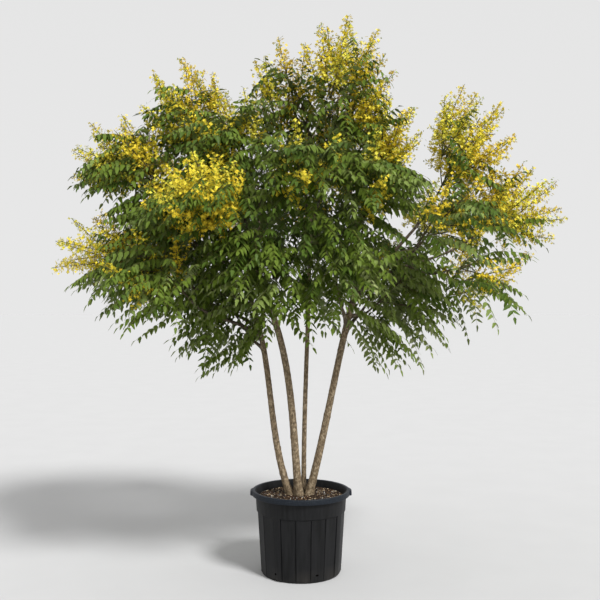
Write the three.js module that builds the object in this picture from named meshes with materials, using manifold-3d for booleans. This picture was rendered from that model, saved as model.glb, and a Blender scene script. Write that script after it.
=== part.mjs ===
// A potted golden rain tree: a young tree of four stems from one root, in flower, in a black nursery pot.
// Millimetres, +Z up. The origin is the middle of the pot's flat underside, and the front faces -Y.
// Four stems stand in the pot's soil. Boughs leave the stems and each ends where it enters a mass of leaves.
// Each mass grows from its bough's tip by one rule and keeps to a space of its own.

import * as THREE from "three";
import { mergeVertices } from "three/addons/utils/BufferGeometryUtils.js";
import Module from "manifold-3d";

// Air between neighbours that touch on the real plant, and the air that twigs and leaves keep from a limb.
const GAP = 0.3;
const LIMB_CLEARANCE = 1;

const POT = {
  height: 427,
  rimRadius: 253.5,
  rimHeight: 27,
  rimLip: 17,
  topRadius: 234,
  baseRadius: 208,
  footRadius: 201,
  footBevel: 15,
  wall: 4,
  floor: 5,
  band: 104,
  panels: 18,
  panelRelief: 3,
  panelEdge: 1.2,
  panelBearing: 3,
  lugReach: 264,
  lugWidth: 62,
  lugHeight: 23,
  drainHoles: 6,
  drainSides: 6,
  drainWidth: 17,
  drainHeight: 10,
  drainDepth: 16,
  drainMiddle: 39,
  drainBearing: 23,
};

const SOIL = { top: 399, edgeDrop: 6, flatRadius: 150, sides: 30 };

// Each stem: its foot on the soil, its top, how far it leans at both (degrees from plumb, in the plane from
// foot to top), its radius at the foot, half way and at the top, and how much its foot flares.
const STEMS = {
  stem_left: { foot: [-58, 10], top: [-224, 30, 1285], lean: [21, 15], radius: [19, 15.5, 14], flare: 3 },
  stem_middle: { foot: [-11, -10], top: [-168, -70, 1394], lean: [6, 24], radius: [21, 18, 16], flare: 7 },
  stem_slender: { foot: [15, 52], top: [42, 130, 2280], lean: [-1, -8.5], radius: [13, 11, 5.5], flare: 3 },
  stem_right: { foot: [42, 6], top: [265, -15, 1394], lean: [15, 14.5], radius: [21, 17.5, 16.5], flare: 5 },
};
const STEM_STATIONS = [0, 0.015, 0.05, 0.15, 0.3, 0.5, 0.7, 0.86, 1];
const STEM_SIDES = 8;
const FLARE_HEIGHT = 34;

const BOUGH = {
  baseShare: 0.72,
  leaderShare: 0.94,
  tipRadius: 5.5,
  stations: [0, 0.2, 0.45, 0.72, 1],
  sides: 5,
  overlap: 8,
  entry: 0.74,
  handle: 0.36,
  turnOut: 1.5,
  lift: 0.45,
};

// Each mass of leaves: the limb that carries it, where along that limb its bough leaves it (1 goes on from
// the tip), where its middle lies (right, back and up from the origin), its width, depth and height, and how
// many of its shoots end in a panicle. The one with no place along its limb grows straight from the limb's tip.
const MASSES = {
  left_spire: { from: "stem_left", at: 1, middle: [-625, 140, 2385], size: [540, 560, 680], blooms: 3 },
  far_left: { from: "left_spire", at: 0.1, middle: [-1010, 30, 1630], size: [640, 600, 540], blooms: 3 },
  left_side: { from: "left_spire", at: 0.3, middle: [-700, -60, 1800], size: [540, 560, 500], blooms: 1 },
  upper_left: { from: "left_spire", at: 0.45, middle: [-925, 60, 2120], size: [620, 600, 580], blooms: 3 },
  back_left: { from: "left_spire", at: 0.38, middle: [-660, 560, 2030], size: [680, 640, 660], blooms: 2 },
  back_left_low: { from: "stem_left", at: 0.94, middle: [-760, 470, 1570], size: [680, 640, 600], blooms: 1 },
  front_left_low: { from: "stem_left", at: 0.9, middle: [-700, -350, 1510], size: [580, 640, 540], blooms: 1 },
  left_hanging: { from: "stem_left", at: 0.84, middle: [-420, 40, 1370], size: [520, 600, 620], blooms: 0 },
  middle_top: { from: "stem_middle", at: 1, middle: [-370, -80, 2220], size: [460, 560, 640], blooms: 2 },
  front_left: { from: "middle_top", at: 0.15, middle: [-460, -470, 1850], size: [600, 640, 540], blooms: 3 },
  core: { from: "middle_top", at: 0.35, middle: [-200, 60, 2010], size: [520, 520, 560], blooms: 0 },
  front_middle_low: { from: "stem_middle", at: 0.93, middle: [-190, -400, 1570], size: [540, 640, 600], blooms: 0 },
  slender_spire: { from: "stem_slender", middle: [-90, 130, 2470], size: [460, 520, 760], blooms: 3 },
  front_centre: { from: "stem_slender", at: 0.62, middle: [20, -480, 1980], size: [500, 640, 600], blooms: 1 },
  back_centre: { from: "stem_slender", at: 0.5, middle: [-60, 600, 1850], size: [720, 640, 720], blooms: 1 },
  back_top: { from: "stem_slender", at: 0.72, middle: [170, 450, 2250], size: [600, 640, 700], blooms: 2 },
  leader: { from: "stem_right", at: 1, middle: [230, -10, 2510], size: [560, 580, 820], blooms: 3 },
  leader_front: { from: "leader", at: 0.25, middle: [330, -280, 1960], size: [500, 600, 640], blooms: 1 },
  leader_right: { from: "leader", at: 0.45, middle: [480, 110, 2230], size: [380, 480, 620], blooms: 2 },
  right_top: { from: "stem_right", at: 0.98, middle: [870, 30, 2170], size: [560, 580, 780], blooms: 3 },
  far_right: { from: "right_top", at: 0.16, middle: [1110, 0, 1850], size: [560, 600, 600], blooms: 3 },
  right_low: { from: "far_right", at: 0.35, middle: [930, -60, 1490], size: [680, 640, 560], blooms: 1 },
  front_right: { from: "right_top", at: 0.3, middle: [710, -420, 1760], size: [580, 640, 560], blooms: 2 },
  right_hanging: { from: "stem_right", at: 0.92, middle: [550, 60, 1420], size: [560, 600, 800], blooms: 0 },
  front_centre_low: { from: "stem_right", at: 0.87, middle: [140, -380, 1590], size: [500, 640, 620], blooms: 0 },
  back_right: { from: "right_top", at: 0.4, middle: [800, 540, 1820], size: [680, 640, 640], blooms: 2 },
  back_right_low: { from: "stem_right", at: 0.82, middle: [470, 480, 1550], size: [660, 640, 600], blooms: 1 },
};

// The rule that every mass grows by.
const SHOOT = { radius: [9, 6], stations: [0, 0.5, 1], top: 0.5, outward: 0.25, turns: 8, sides: 3 };
const TWIG = {
  count: 5,
  from: [0.2, 0.85],
  lowest: -0.5,
  highest: 0.85,
  reach: 0.58,
  radius: [7, 4.5],
  stations: [0, 1],
  sides: 3,
};
const LEAF = {
  length: 400,
  shortest: 160,
  width: 0.44,
  widest: 0.5,
  ridge: 0.36,
  rise: 0.01,
  fold: 0.06,
  droop: 0.17,
  hang: 0.25,
  roll: 55,
  forward: [0.2, 0.9],
  along: [0.4, 0.7, 0.97],
  tries: 20,
  lengthWorth: 0.4,
};
const PANICLE = { length: 360, shortest: 150, radius: 0.22, widest: 0.35, lean: 0.25, at: 0.95, sides: 3 };
const SPACE_MARGIN = 2;
const REACH_STEP = 10;
const FIRST_SEED = 113;
const SEED_STEP = 10;
const FINEST = 0.001;

const GOLDEN_ANGLE = Math.PI * (3 - Math.sqrt(5));
const RIGHT = new THREE.Vector3(1, 0, 0);
const BACK = new THREE.Vector3(0, 1, 0);
const UP = new THREE.Vector3(0, 0, 1);
const TOO_CLOSE = 0.8;

const wasm = await Module();
wasm.setup();

const { degToRad, lerp, seededRandom } = THREE.MathUtils;

// Solids

function solidOf(geometry) {
  const bare = geometry.clone();
  bare.deleteAttribute("normal");
  bare.deleteAttribute("uv");
  const merged = mergeVertices(bare);
  return new wasm.Manifold(
    new wasm.Mesh({
      numProp: 3,
      vertProperties: merged.attributes.position.array,
      triVerts: new Uint32Array(merged.index.array),
    }),
  );
}

// A closed body over a stack of rings with equally many points, with a flat fan across each end ring.
function loft(rings) {
  const sides = rings[0].length;
  const last = (rings.length - 1) * sides;
  const faces = [];
  for (let row = 0; row < last; row += sides) {
    for (let side = 0; side < sides; side += 1) {
      const next = (side + 1) % sides;
      faces.push(row + side, row + next, row + side + sides);
      faces.push(row + next, row + next + sides, row + side + sides);
    }
  }
  for (let side = 1; side < sides - 1; side += 1) {
    faces.push(0, side + 1, side);
    faces.push(last, last + side, last + side + 1);
  }
  return solidFromFaces(rings.flat(), faces);
}

function solidFromFaces(points, faces) {
  const geometry = new THREE.BufferGeometry().setFromPoints(points);
  geometry.setIndex(faces);
  return solidOf(geometry);
}

// The largest closed body of a solid: loose scraps go, and a hollow sealed inside it is filled.
function mainBody(solid) {
  const bodies = solid.decompose();
  return bodies.reduce((largest, body) => (body.volume() > largest.volume() ? body : largest));
}

// A direction to measure turns from: the wished one, or +X where the axis runs too close to that.
function farFrom(axis, wished) {
  return Math.abs(axis.dot(wished)) < TOO_CLOSE ? wished : RIGHT;
}

// A ring round a point, square to a direction, its first point on the side that `reference` names.
function ringAround(centre, direction, radius, sides, reference) {
  const across = new THREE.Vector3().crossVectors(direction, reference).normalize();
  const other = new THREE.Vector3().crossVectors(direction, across);
  return Array.from({ length: sides }, (unused, side) => {
    const angle = (side / sides) * 2 * Math.PI;
    return centre
      .clone()
      .addScaledVector(across, radius * Math.cos(angle))
      .addScaledVector(other, radius * Math.sin(angle));
  });
}

// A tapering limb along a curve. `thicker` and `longer` grow it by so much, as a cutter for its neighbours.
function limbSolid({ curve, radiusAt, stations, sides, flatFoot }, thicker = 0, longer = thicker) {
  const chord = curve.getPoint(1).sub(curve.getPoint(0)).normalize();
  const reference = farFrom(chord, BACK);
  const rings = stations.map((station) => {
    const direction = curve.getTangent(station);
    const centre = curve.getPoint(station);
    if (station === 0 && !flatFoot) centre.addScaledVector(direction, -longer);
    if (station === 1) centre.addScaledVector(direction, longer);
    const ring = ringAround(centre, direction, radiusAt(station) + thicker, sides, reference);
    if (station === 0 && flatFoot) {
      ring.forEach((point) => point.addScaledVector(direction, (centre.z - point.z) / direction.z));
    }
    return ring;
  });
  return loft(rings);
}

// Pot

// One level of the pot's skin: raised panels and the panels between them take turns round it.
function potRing(radius, height, relief = 0) {
  const pitch = 360 / POT.panels;
  const ring = [];
  for (let panel = 0; panel < POT.panels; panel += 1) {
    const raised = panel % 2 === 0 ? relief : 0;
    [POT.panelEdge / 2, pitch / 2, pitch - POT.panelEdge / 2].forEach((within) => {
      const angle = degToRad(POT.panelBearing + panel * pitch + within);
      const reach = radius + raised;
      ring.push(new THREE.Vector3(reach * Math.cos(angle), reach * Math.sin(angle), height));
    });
  }
  return ring;
}

function wallRadius(height) {
  return lerp(POT.baseRadius, POT.topRadius, height / POT.height);
}

function makePot() {
  const rimBottom = POT.height - POT.rimHeight;
  const bandBottom = POT.height - POT.band;
  const shell = loft([
    potRing(POT.footRadius, 0),
    potRing(wallRadius(POT.footBevel), POT.footBevel),
    potRing(wallRadius(POT.footBevel + POT.panelRelief), POT.footBevel + POT.panelRelief, POT.panelRelief),
    potRing(wallRadius(bandBottom - POT.panelRelief), bandBottom - POT.panelRelief, POT.panelRelief),
    potRing(wallRadius(bandBottom) + POT.panelRelief, bandBottom),
    potRing(wallRadius(rimBottom) + POT.panelRelief, rimBottom),
    potRing(POT.rimRadius, rimBottom),
    potRing(POT.rimRadius, POT.height),
  ]);
  const inside = loft([
    level(POT.footRadius - POT.wall, POT.floor),
    level(wallRadius(POT.footBevel) - POT.wall, POT.footBevel),
    level(wallRadius(rimBottom) - POT.wall, rimBottom),
    level(POT.rimRadius - POT.rimLip, POT.height + POT.wall),
  ]);
  return withDrainHoles(shell.add(lug(0)).add(lug(Math.PI)).subtract(inside));
}

// A level ring round the pot's middle.
function level(radius, height) {
  return ringAround(new THREE.Vector3(0, 0, height), UP, radius, SOIL.sides, BACK);
}

// A small hand grip: the rim's skirt stands out over a short stretch.
function lug(bearing) {
  const depth = POT.lugReach - POT.rimRadius + POT.rimLip / 2;
  const box = new THREE.BoxGeometry(depth, POT.lugWidth, POT.lugHeight);
  box.translate(POT.lugReach - depth / 2, 0, POT.height - POT.rimHeight + POT.lugHeight / 2);
  box.rotateZ(bearing);
  return solidOf(box);
}

function withDrainHoles(shell) {
  let pot = shell;
  for (let hole = 0; hole < POT.drainHoles; hole += 1) {
    const cutter = new THREE.CylinderGeometry(0.5, 0.5, POT.drainDepth, POT.drainSides);
    cutter.scale(POT.drainWidth, 1, POT.drainHeight);
    cutter.translate(0, -wallRadius(0), POT.drainMiddle);
    cutter.rotateZ(degToRad(POT.drainBearing + (360 * hole) / POT.drainHoles));
    pot = pot.subtract(solidOf(cutter));
  }
  return pot;
}

// Soil

function makeSoil() {
  const inside = (height) => wallRadius(height) - POT.wall - 2 * GAP;
  const edge = SOIL.top - SOIL.edgeDrop;
  return loft([
    level(POT.footRadius - POT.wall - 2 * GAP, POT.floor + GAP),
    level(inside(POT.footBevel), POT.footBevel + GAP),
    level(inside(edge), edge),
    level(SOIL.flatRadius, SOIL.top),
  ]);
}

// Stems and boughs

// The masses with their vectors worked out.
const masses = Object.entries(MASSES).map(([name, row], index) => {
  const middle = new THREE.Vector3(...row.middle);
  const half = new THREE.Vector3(...row.size).divideScalar(2);
  const bearing = Math.atan2(middle.y, middle.x);
  return { ...row, name, middle, half, bearing, firstSeed: FIRST_SEED + index * SEED_STEP };
});

// The limbs by name, in the order they grow: later ones give way to earlier ones.
const limbs = {};

function addLimb(name, limb) {
  let solid = limbSolid(limb);
  Object.values(limbs).forEach((other) => {
    solid = solid.subtract(other.grown);
  });
  limbs[name] = { ...limb, solid: mainBody(solid), grown: limbSolid(limb, GAP) };
}

// The direction that leans by some degrees from plumb towards a flat heading.
function leaning(heading, degrees) {
  return heading
    .clone()
    .multiplyScalar(Math.sin(degToRad(degrees)))
    .addScaledVector(UP, Math.cos(degToRad(degrees)));
}

function growStem(name, { foot, top, lean, radius, flare }) {
  const start = new THREE.Vector3(...foot, SOIL.top + GAP);
  const end = new THREE.Vector3(...top);
  const heading = end.clone().sub(start).setZ(0).normalize();
  const handle = start.distanceTo(end) / 3;
  const curve = new THREE.CubicBezierCurve3(
    start,
    start.clone().addScaledVector(leaning(heading, lean[0]), handle),
    end.clone().addScaledVector(leaning(heading, lean[1]), -handle),
    end,
  );
  const height = end.z - start.z;
  const radiusAt = (share) => {
    const taper = share < 0.5 ? lerp(radius[0], radius[1], 2 * share) : lerp(radius[1], radius[2], 2 * share - 1);
    return taper + flare * Math.exp((-share * height) / FLARE_HEIGHT);
  };
  addLimb(name, { curve, radiusAt, stations: STEM_STATIONS, sides: STEM_SIDES, flatFoot: true });
}

// A mass is carried by a stem, or by the bough that bears the named mass.
function carrierOf(mass) {
  return limbs[mass.from] ?? limbs[`bough_${mass.from}`];
}

function growBough(mass) {
  const parent = carrierOf(mass);
  const goesOn = mass.at === 1;
  const root = parent.curve.getPoint(mass.at);
  const along = parent.curve.getTangent(mass.at);
  if (goesOn) root.addScaledVector(along, -BOUGH.overlap);
  const inward = root.clone().sub(mass.middle);
  const depth = Math.max(inward.clone().divide(mass.half).length(), 1);
  const tip = mass.middle.clone().addScaledVector(inward, BOUGH.entry / depth);
  const towards = inward.clone().negate().normalize();
  const leaving = goesOn ? along : along.clone().addScaledVector(towards, BOUGH.turnOut).normalize();
  const arriving = towards.clone().addScaledVector(UP, BOUGH.lift).normalize();
  const handle = root.distanceTo(tip) * BOUGH.handle;
  const curve = new THREE.CubicBezierCurve3(
    root,
    root.clone().addScaledVector(leaving, handle),
    tip.clone().addScaledVector(arriving, -handle),
    tip,
  );
  const base = parent.radiusAt(mass.at) * (goesOn ? BOUGH.leaderShare : BOUGH.baseShare);
  const radiusAt = (share) => lerp(Math.max(base, BOUGH.tipRadius), BOUGH.tipRadius, share);
  addLimb(`bough_${mass.name}`, { curve, radiusAt, stations: BOUGH.stations, sides: BOUGH.sides });
}

// Masses of leaves

// Whether a point lies in a mass's own space: inside its ellipsoid, and on its side of the flat wall that
// stands between it and each other mass, at a place by their sizes.
function isInSpace(mass, point) {
  const offset = point.clone().sub(mass.middle);
  if (offset.clone().divide(mass.half).length() > 1) return false;
  return masses.every((other) => {
    if (other === mass) return true;
    const across = other.middle.clone().sub(mass.middle);
    const distance = across.length();
    const share = mass.half.length() / (mass.half.length() + other.half.length());
    return offset.dot(across) / distance < distance * share - SPACE_MARGIN;
  });
}

// How far one can go from a point in a direction and still be in the mass's own space.
function roomAhead(mass, point, direction, longest) {
  let room = longest;
  while (room > 0 && !isInSpace(mass, point.clone().addScaledVector(direction, room))) {
    room -= REACH_STEP;
  }
  return Math.max(room, 0);
}

function towardsTarget(mass, start, target) {
  const direction = target.clone().sub(start);
  const distance = direction.length();
  direction.normalize();
  return start.clone().addScaledVector(direction, roomAhead(mass, start, direction, distance));
}

// One compound leaf as a folded blade: root, tip and two edges, closed above by a point on its raised midrib.
function leafPoints(root, direction, roll, length) {
  const across = new THREE.Vector3().crossVectors(direction, UP).normalize().applyAxisAngle(direction, roll);
  const above = new THREE.Vector3().crossVectors(across, direction);
  const place = (forward, sideways, rise) =>
    root
      .clone()
      .addScaledVector(direction, forward * length)
      .addScaledVector(across, sideways * length)
      .addScaledVector(above, rise * length);
  return [
    place(0, 0, 0),
    place(LEAF.widest, LEAF.width / 2, -LEAF.fold),
    place(1, 0, -LEAF.droop),
    place(LEAF.widest, -LEAF.width / 2, -LEAF.fold),
    place(LEAF.ridge, 0, LEAF.rise),
  ];
}

// The blade's four upper faces, and two below that meet between its edges.
const LEAF_FACES = [0, 1, 4, 1, 2, 4, 2, 3, 4, 3, 0, 4, 1, 0, 3, 2, 1, 3];

// A panicle of blossom as a three-sided spindle: root, tip and a ring between them.
function paniclePoints(root, direction, length) {
  const waist = root.clone().addScaledVector(direction, PANICLE.widest * length);
  const ring = ringAround(waist, direction, PANICLE.radius * length, PANICLE.sides, farFrom(direction, UP));
  return [...ring, root.clone().addScaledVector(direction, length), root.clone()];
}

const PANICLE_FACES = [0, 1, 3, 1, 2, 3, 2, 0, 3, 1, 0, 4, 2, 1, 4, 0, 2, 4];

function touchesLimb(solid) {
  return !solid.intersect(allLimbs).isEmpty();
}

// The best of some leaves tried at one place: it stays in the mass's space, is long, and is far from the others.
function chooseLeaf(mass, root, along, placed) {
  const choices = [];
  const sideways = new THREE.Vector3().crossVectors(along, farFrom(along, UP)).normalize();
  for (let attempt = 0; attempt < LEAF.tries; attempt += 1) {
    const direction = sideways
      .clone()
      .applyAxisAngle(along, seededRandom() * 2 * Math.PI)
      .addScaledVector(along, lerp(...LEAF.forward, seededRandom()))
      .addScaledVector(UP, -LEAF.hang)
      .normalize();
    const roll = degToRad(LEAF.roll) * (2 * seededRandom() - 1);
    const length = roomAhead(mass, root, direction, LEAF.length);
    const points = leafPoints(root, direction, roll, length);
    if (length >= LEAF.shortest && points.every((point) => isInSpace(mass, point))) {
      const middle = root.clone().addScaledVector(direction, length * LEAF.widest);
      const apart = placed.reduce((least, other) => Math.min(least, other.distanceTo(middle)), LEAF.length);
      choices.push({ points, middle, worth: apart + length * LEAF.lengthWorth });
    }
  }
  choices.sort((one, other) => other.worth - one.worth);
  for (const { points, middle } of choices) {
    const solid = solidFromFaces(points, LEAF_FACES);
    if (!touchesLimb(solid)) {
      placed.push(middle);
      return [solid];
    }
  }
  return [];
}

// An upright panicle on a twig's tip, as long as the mass's space lets it be.
function panicle(mass, root, bearing) {
  const out = new THREE.Vector3(Math.cos(bearing), Math.sin(bearing), 0);
  const direction = UP.clone().addScaledVector(out, PANICLE.lean).normalize();
  const length = roomAhead(mass, root, direction, PANICLE.length);
  const points = paniclePoints(root, direction, length);
  if (length < PANICLE.shortest || !points.every((point) => isInSpace(mass, point))) return [];
  const solid = solidFromFaces(points, PANICLE_FACES);
  return touchesLimb(solid) ? [] : [solid];
}

function tapering(curve, radius, { stations, sides }) {
  return limbSolid({ curve, radiusAt: (share) => lerp(...radius, share), stations, sides });
}

// The shoot that leads a mass goes on from its bough's tip, 0.3 mm clear, towards the mass's outer top.
// Where a limb is in its way, it turns round the mass's middle until it is clear.
function leadingShoot(mass) {
  const limb = limbs[`bough_${mass.name}`] ?? carrierOf(mass);
  const along = limb.curve.getTangent(1);
  const start = limb.curve.getPoint(1).addScaledVector(along, GAP);
  for (let turn = 0; turn < SHOOT.turns; turn += 1) {
    const bearing = mass.bearing + turn * GOLDEN_ANGLE;
    const outward = new THREE.Vector3(SHOOT.outward, 0, SHOOT.top).applyAxisAngle(UP, bearing);
    const end = towardsTarget(mass, start, outward.multiply(mass.half).add(mass.middle));
    const bend = start.clone().addScaledVector(along, start.distanceTo(end) / 2);
    const curve = new THREE.QuadraticBezierCurve3(start, bend, end);
    const solid = tapering(curve, SHOOT.radius, SHOOT);
    if (!touchesLimb(solid)) return { curve, solid };
  }
  throw new Error(`no way for the leading shoot of ${mass.name}`);
}

// The directions of a mass's twigs: a spiral from low to high round its middle, from a first bearing.
function twigDirection(twig, firstBearing) {
  const rise = lerp(TWIG.lowest, TWIG.highest, (twig + 0.5) / TWIG.count);
  const bearing = firstBearing + twig * GOLDEN_ANGLE;
  const flat = Math.sqrt(1 - rise * rise);
  return new THREE.Vector3(flat * Math.cos(bearing), flat * Math.sin(bearing), rise);
}

// Whether any two corners of a solid nearly meet, which leaves crossing by chance can bring about.
function hasNearCorners(solid) {
  const { vertProperties } = solid.getMesh();
  const corners = [];
  for (let start = 0; start < vertProperties.length; start += 3) {
    corners.push(new THREE.Vector3().fromArray(vertProperties, start));
  }
  return corners.some((corner, index) =>
    corners.slice(index + 1).some((other) => corner.distanceToSquared(other) < FINEST * FINEST),
  );
}

// A mass is grown from its own seed, or from the first seed after it that gives a sound body.
function soundFoliage(mass) {
  for (let seed = mass.firstSeed; seed < mass.firstSeed + SEED_STEP; seed += 1) {
    seededRandom(seed);
    const solid = growFoliage(mass);
    if (!hasNearCorners(solid)) return solid;
  }
  throw new Error(`no sound body for ${mass.name}`);
}

// The leading shoot bears twigs in a spiral. Each twig bears leaves, and the topmost ones end in blossom.
function growFoliage(mass) {
  const { curve: shoot, solid: shootSolid } = leadingShoot(mass);
  const pieces = [shootSolid];
  const placed = [];
  const firstBearing = seededRandom() * 2 * Math.PI;
  if (mass.blooms > 0) pieces.push(...panicle(mass, shoot.getPoint(PANICLE.at), mass.bearing));
  for (let twig = 0; twig < TWIG.count; twig += 1) {
    const direction = twigDirection(twig, firstBearing);
    const start = shoot.getPoint(lerp(...TWIG.from, twig / (TWIG.count - 1)));
    const target = direction.clone().multiply(mass.half).multiplyScalar(TWIG.reach).add(mass.middle);
    const curve = new THREE.LineCurve3(start, towardsTarget(mass, start, target));
    const solid = tapering(curve, TWIG.radius, TWIG);
    if (touchesLimb(solid)) continue;
    const flowers = twig > TWIG.count - mass.blooms;
    pieces.push(solid);
    LEAF.along.slice(0, flowers ? -1 : undefined).forEach((share) => {
      pieces.push(...chooseLeaf(mass, curve.getPoint(share), curve.getTangent(share), placed));
    });
    if (flowers) {
      pieces.push(...panicle(mass, curve.getPoint(PANICLE.at), Math.atan2(direction.y, direction.x)));
    }
  }
  return mainBody(wasm.Manifold.union(pieces));
}

// Assembly

const MATERIALS = {
  pot: new THREE.MeshStandardMaterial({ color: "#232528", roughness: 0.5, metalness: 0 }),
  soil: new THREE.MeshStandardMaterial({ color: "#4a3526", roughness: 1, metalness: 0 }),
  stem: new THREE.MeshStandardMaterial({ color: "#8c7a64", roughness: 0.9, metalness: 0 }),
  bough: new THREE.MeshStandardMaterial({ color: "#5d4c3c", roughness: 0.9, metalness: 0 }),
  foliage: new THREE.MeshStandardMaterial({ color: "#4f7a2c", roughness: 0.6, metalness: 0 }),
};

function meshOf(name, solid, material) {
  const { vertProperties, triVerts } = solid.getMesh();
  const geometry = new THREE.BufferGeometry();
  geometry.setAttribute("position", new THREE.BufferAttribute(vertProperties, 3));
  geometry.setIndex(new THREE.BufferAttribute(triVerts, 1));
  geometry.computeVertexNormals();
  const mesh = new THREE.Mesh(geometry, material);
  mesh.name = name;
  return mesh;
}

const tree = new THREE.Group();
tree.add(meshOf("pot", makePot(), MATERIALS.pot));
tree.add(meshOf("soil", makeSoil(), MATERIALS.soil));

Object.entries(STEMS).forEach(([name, stem]) => growStem(name, stem));
masses.filter((mass) => "at" in mass).forEach((mass) => growBough(mass));
Object.entries(limbs).forEach(([name, limb]) => {
  tree.add(meshOf(name, limb.solid, name in STEMS ? MATERIALS.stem : MATERIALS.bough));
});

const allLimbs = wasm.Manifold.union(
  Object.values(limbs).map((limb) => limbSolid(limb, LIMB_CLEARANCE, 0)),
);
masses.forEach((mass) => {
  tree.add(meshOf(`foliage_${mass.name}`, soundFoliage(mass), MATERIALS.foliage));
});

export default tree;
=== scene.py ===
# A young golden rain tree in flower: four stems from one root, in a black nursery pot.
# Metres, +Z up. The pot stands on the floor at the origin, and the front faces -Y.

import math
import bpy
import numpy as np
from mathutils import Matrix, Vector


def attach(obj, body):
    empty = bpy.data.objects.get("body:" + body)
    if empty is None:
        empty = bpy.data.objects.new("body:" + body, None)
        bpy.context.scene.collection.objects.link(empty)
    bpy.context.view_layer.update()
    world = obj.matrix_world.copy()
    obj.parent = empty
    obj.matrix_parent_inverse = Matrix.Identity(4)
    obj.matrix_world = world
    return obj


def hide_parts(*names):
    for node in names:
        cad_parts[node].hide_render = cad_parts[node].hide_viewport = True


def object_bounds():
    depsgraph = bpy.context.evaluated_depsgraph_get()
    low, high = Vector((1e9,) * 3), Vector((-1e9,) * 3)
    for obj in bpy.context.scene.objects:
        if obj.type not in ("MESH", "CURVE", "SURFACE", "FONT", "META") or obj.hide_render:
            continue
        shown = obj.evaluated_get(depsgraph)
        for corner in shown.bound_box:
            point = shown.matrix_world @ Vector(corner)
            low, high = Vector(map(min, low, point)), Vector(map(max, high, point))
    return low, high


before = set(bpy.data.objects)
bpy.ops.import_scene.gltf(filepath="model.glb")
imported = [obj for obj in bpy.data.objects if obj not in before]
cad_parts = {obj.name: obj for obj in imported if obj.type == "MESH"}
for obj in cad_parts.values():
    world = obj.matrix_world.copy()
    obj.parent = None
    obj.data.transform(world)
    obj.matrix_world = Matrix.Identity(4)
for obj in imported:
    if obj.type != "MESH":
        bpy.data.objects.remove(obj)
cad_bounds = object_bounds()

# The nursery pot: one moulding of black polypropylene with a rolled rim, a plain band below it, and a wall
# of flat panels in four recessed fields. Six drain holes are punched through the wall close to the floor.

POT_HEIGHT = 0.427
RIM_RADIUS = 0.2535
RIM_HEIGHT = 0.027
RIM_LIP = 0.017
RIM_ROUND = 0.005
RIM_ROUND_STEPS = (25, 50, 75)
RIM_FOOT_EDGE = ((0, 0.0022), (0.0012, 0.0006), (0.004, 0))
WALL_TOP = 0.234
WALL_BASE = 0.208
FOOT_RADIUS = 0.201
FOOT_BEVEL = 0.015
PANEL_FOOT = 0.019
FOOT_EDGE = ((0.0012, -0.0005), (0.004, 0.0015))
WALL = 0.004
POT_FLOOR = 0.005
BAND = 0.104
BAND_RELIEF = 0.003
BAND_FOOT_EDGE = ((-0.004, 1), (-0.001, 0.15), (0, 0))
PANEL_SET_BACK = 0.004
FIELDS = 4
PANELS_PER_FIELD = 4
PANEL_DEGREES = 20
RIB_DEGREES = 90 - PANELS_PER_FIELD * PANEL_DEGREES
FIELD_START = 243
GROOVE_DEPTH = 0.0042
GROOVE_STEPS = (0.12, 0.85)
PANEL_STEPS = (3, 6.5, 10, 13.5, 17)
RIB_STEPS = (2.5, 5, 7.5)
WALL_ROWS = 9
GRIP_REACH = 0.264
GRIP_DEGREES = 7
GRIP_ROUND_DEGREES = 1.5
DRAIN_HOLES = 6
DRAIN_BEARING = 293
DRAIN_MIDDLE = 0.039
DRAIN_SIZE = (0.017, 0.009)
DRAIN_CORNERS = 20
DRAIN_SQUARENESS = 0.8
PUNCH_REACH = 0.015
SHARP_DEGREES = 30


def wall_radius(height):
    return WALL_BASE + (WALL_TOP - WALL_BASE) * height / POT_HEIGHT


def inner_radius(height):
    """The inside of the wall, below the band."""
    return wall_radius(height) - WALL - PANEL_SET_BACK


def pot_bearings():
    """Bearings round the pot in degrees; each with its distance from its panel's middle (None on a rib) and
    its share of the groove that parts two panels."""
    foot, lip = GROOVE_STEPS
    rows = []
    for field in range(FIELDS):
        start = FIELD_START + field * 360 / FIELDS
        for panel in range(PANELS_PER_FIELD):
            steps = [(foot, 1), (lip, 0)] + [(step, 0) for step in PANEL_STEPS]
            steps += [(PANEL_DEGREES - lip, 0), (PANEL_DEGREES - foot, 1)]
            for step, groove in steps:
                rows.append((start + panel * PANEL_DEGREES + step, step - PANEL_DEGREES / 2, groove))
        field_end = start + PANELS_PER_FIELD * PANEL_DEGREES
        for step in (foot, *RIB_STEPS, RIB_DEGREES - foot):
            rows.append((field_end + step, None, 0))
    return rows


def grip(bearing):
    """How much the rim's skirt stands out at a bearing: a small hand grip on the left and on the right."""
    off_axis = min(abs((bearing + 180 - side) % 360 - 180) for side in (0, 180))
    return (GRIP_REACH - RIM_RADIUS) * min(max((GRIP_DEGREES + 1 - off_axis) / GRIP_ROUND_DEGREES, 0), 1)


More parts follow.
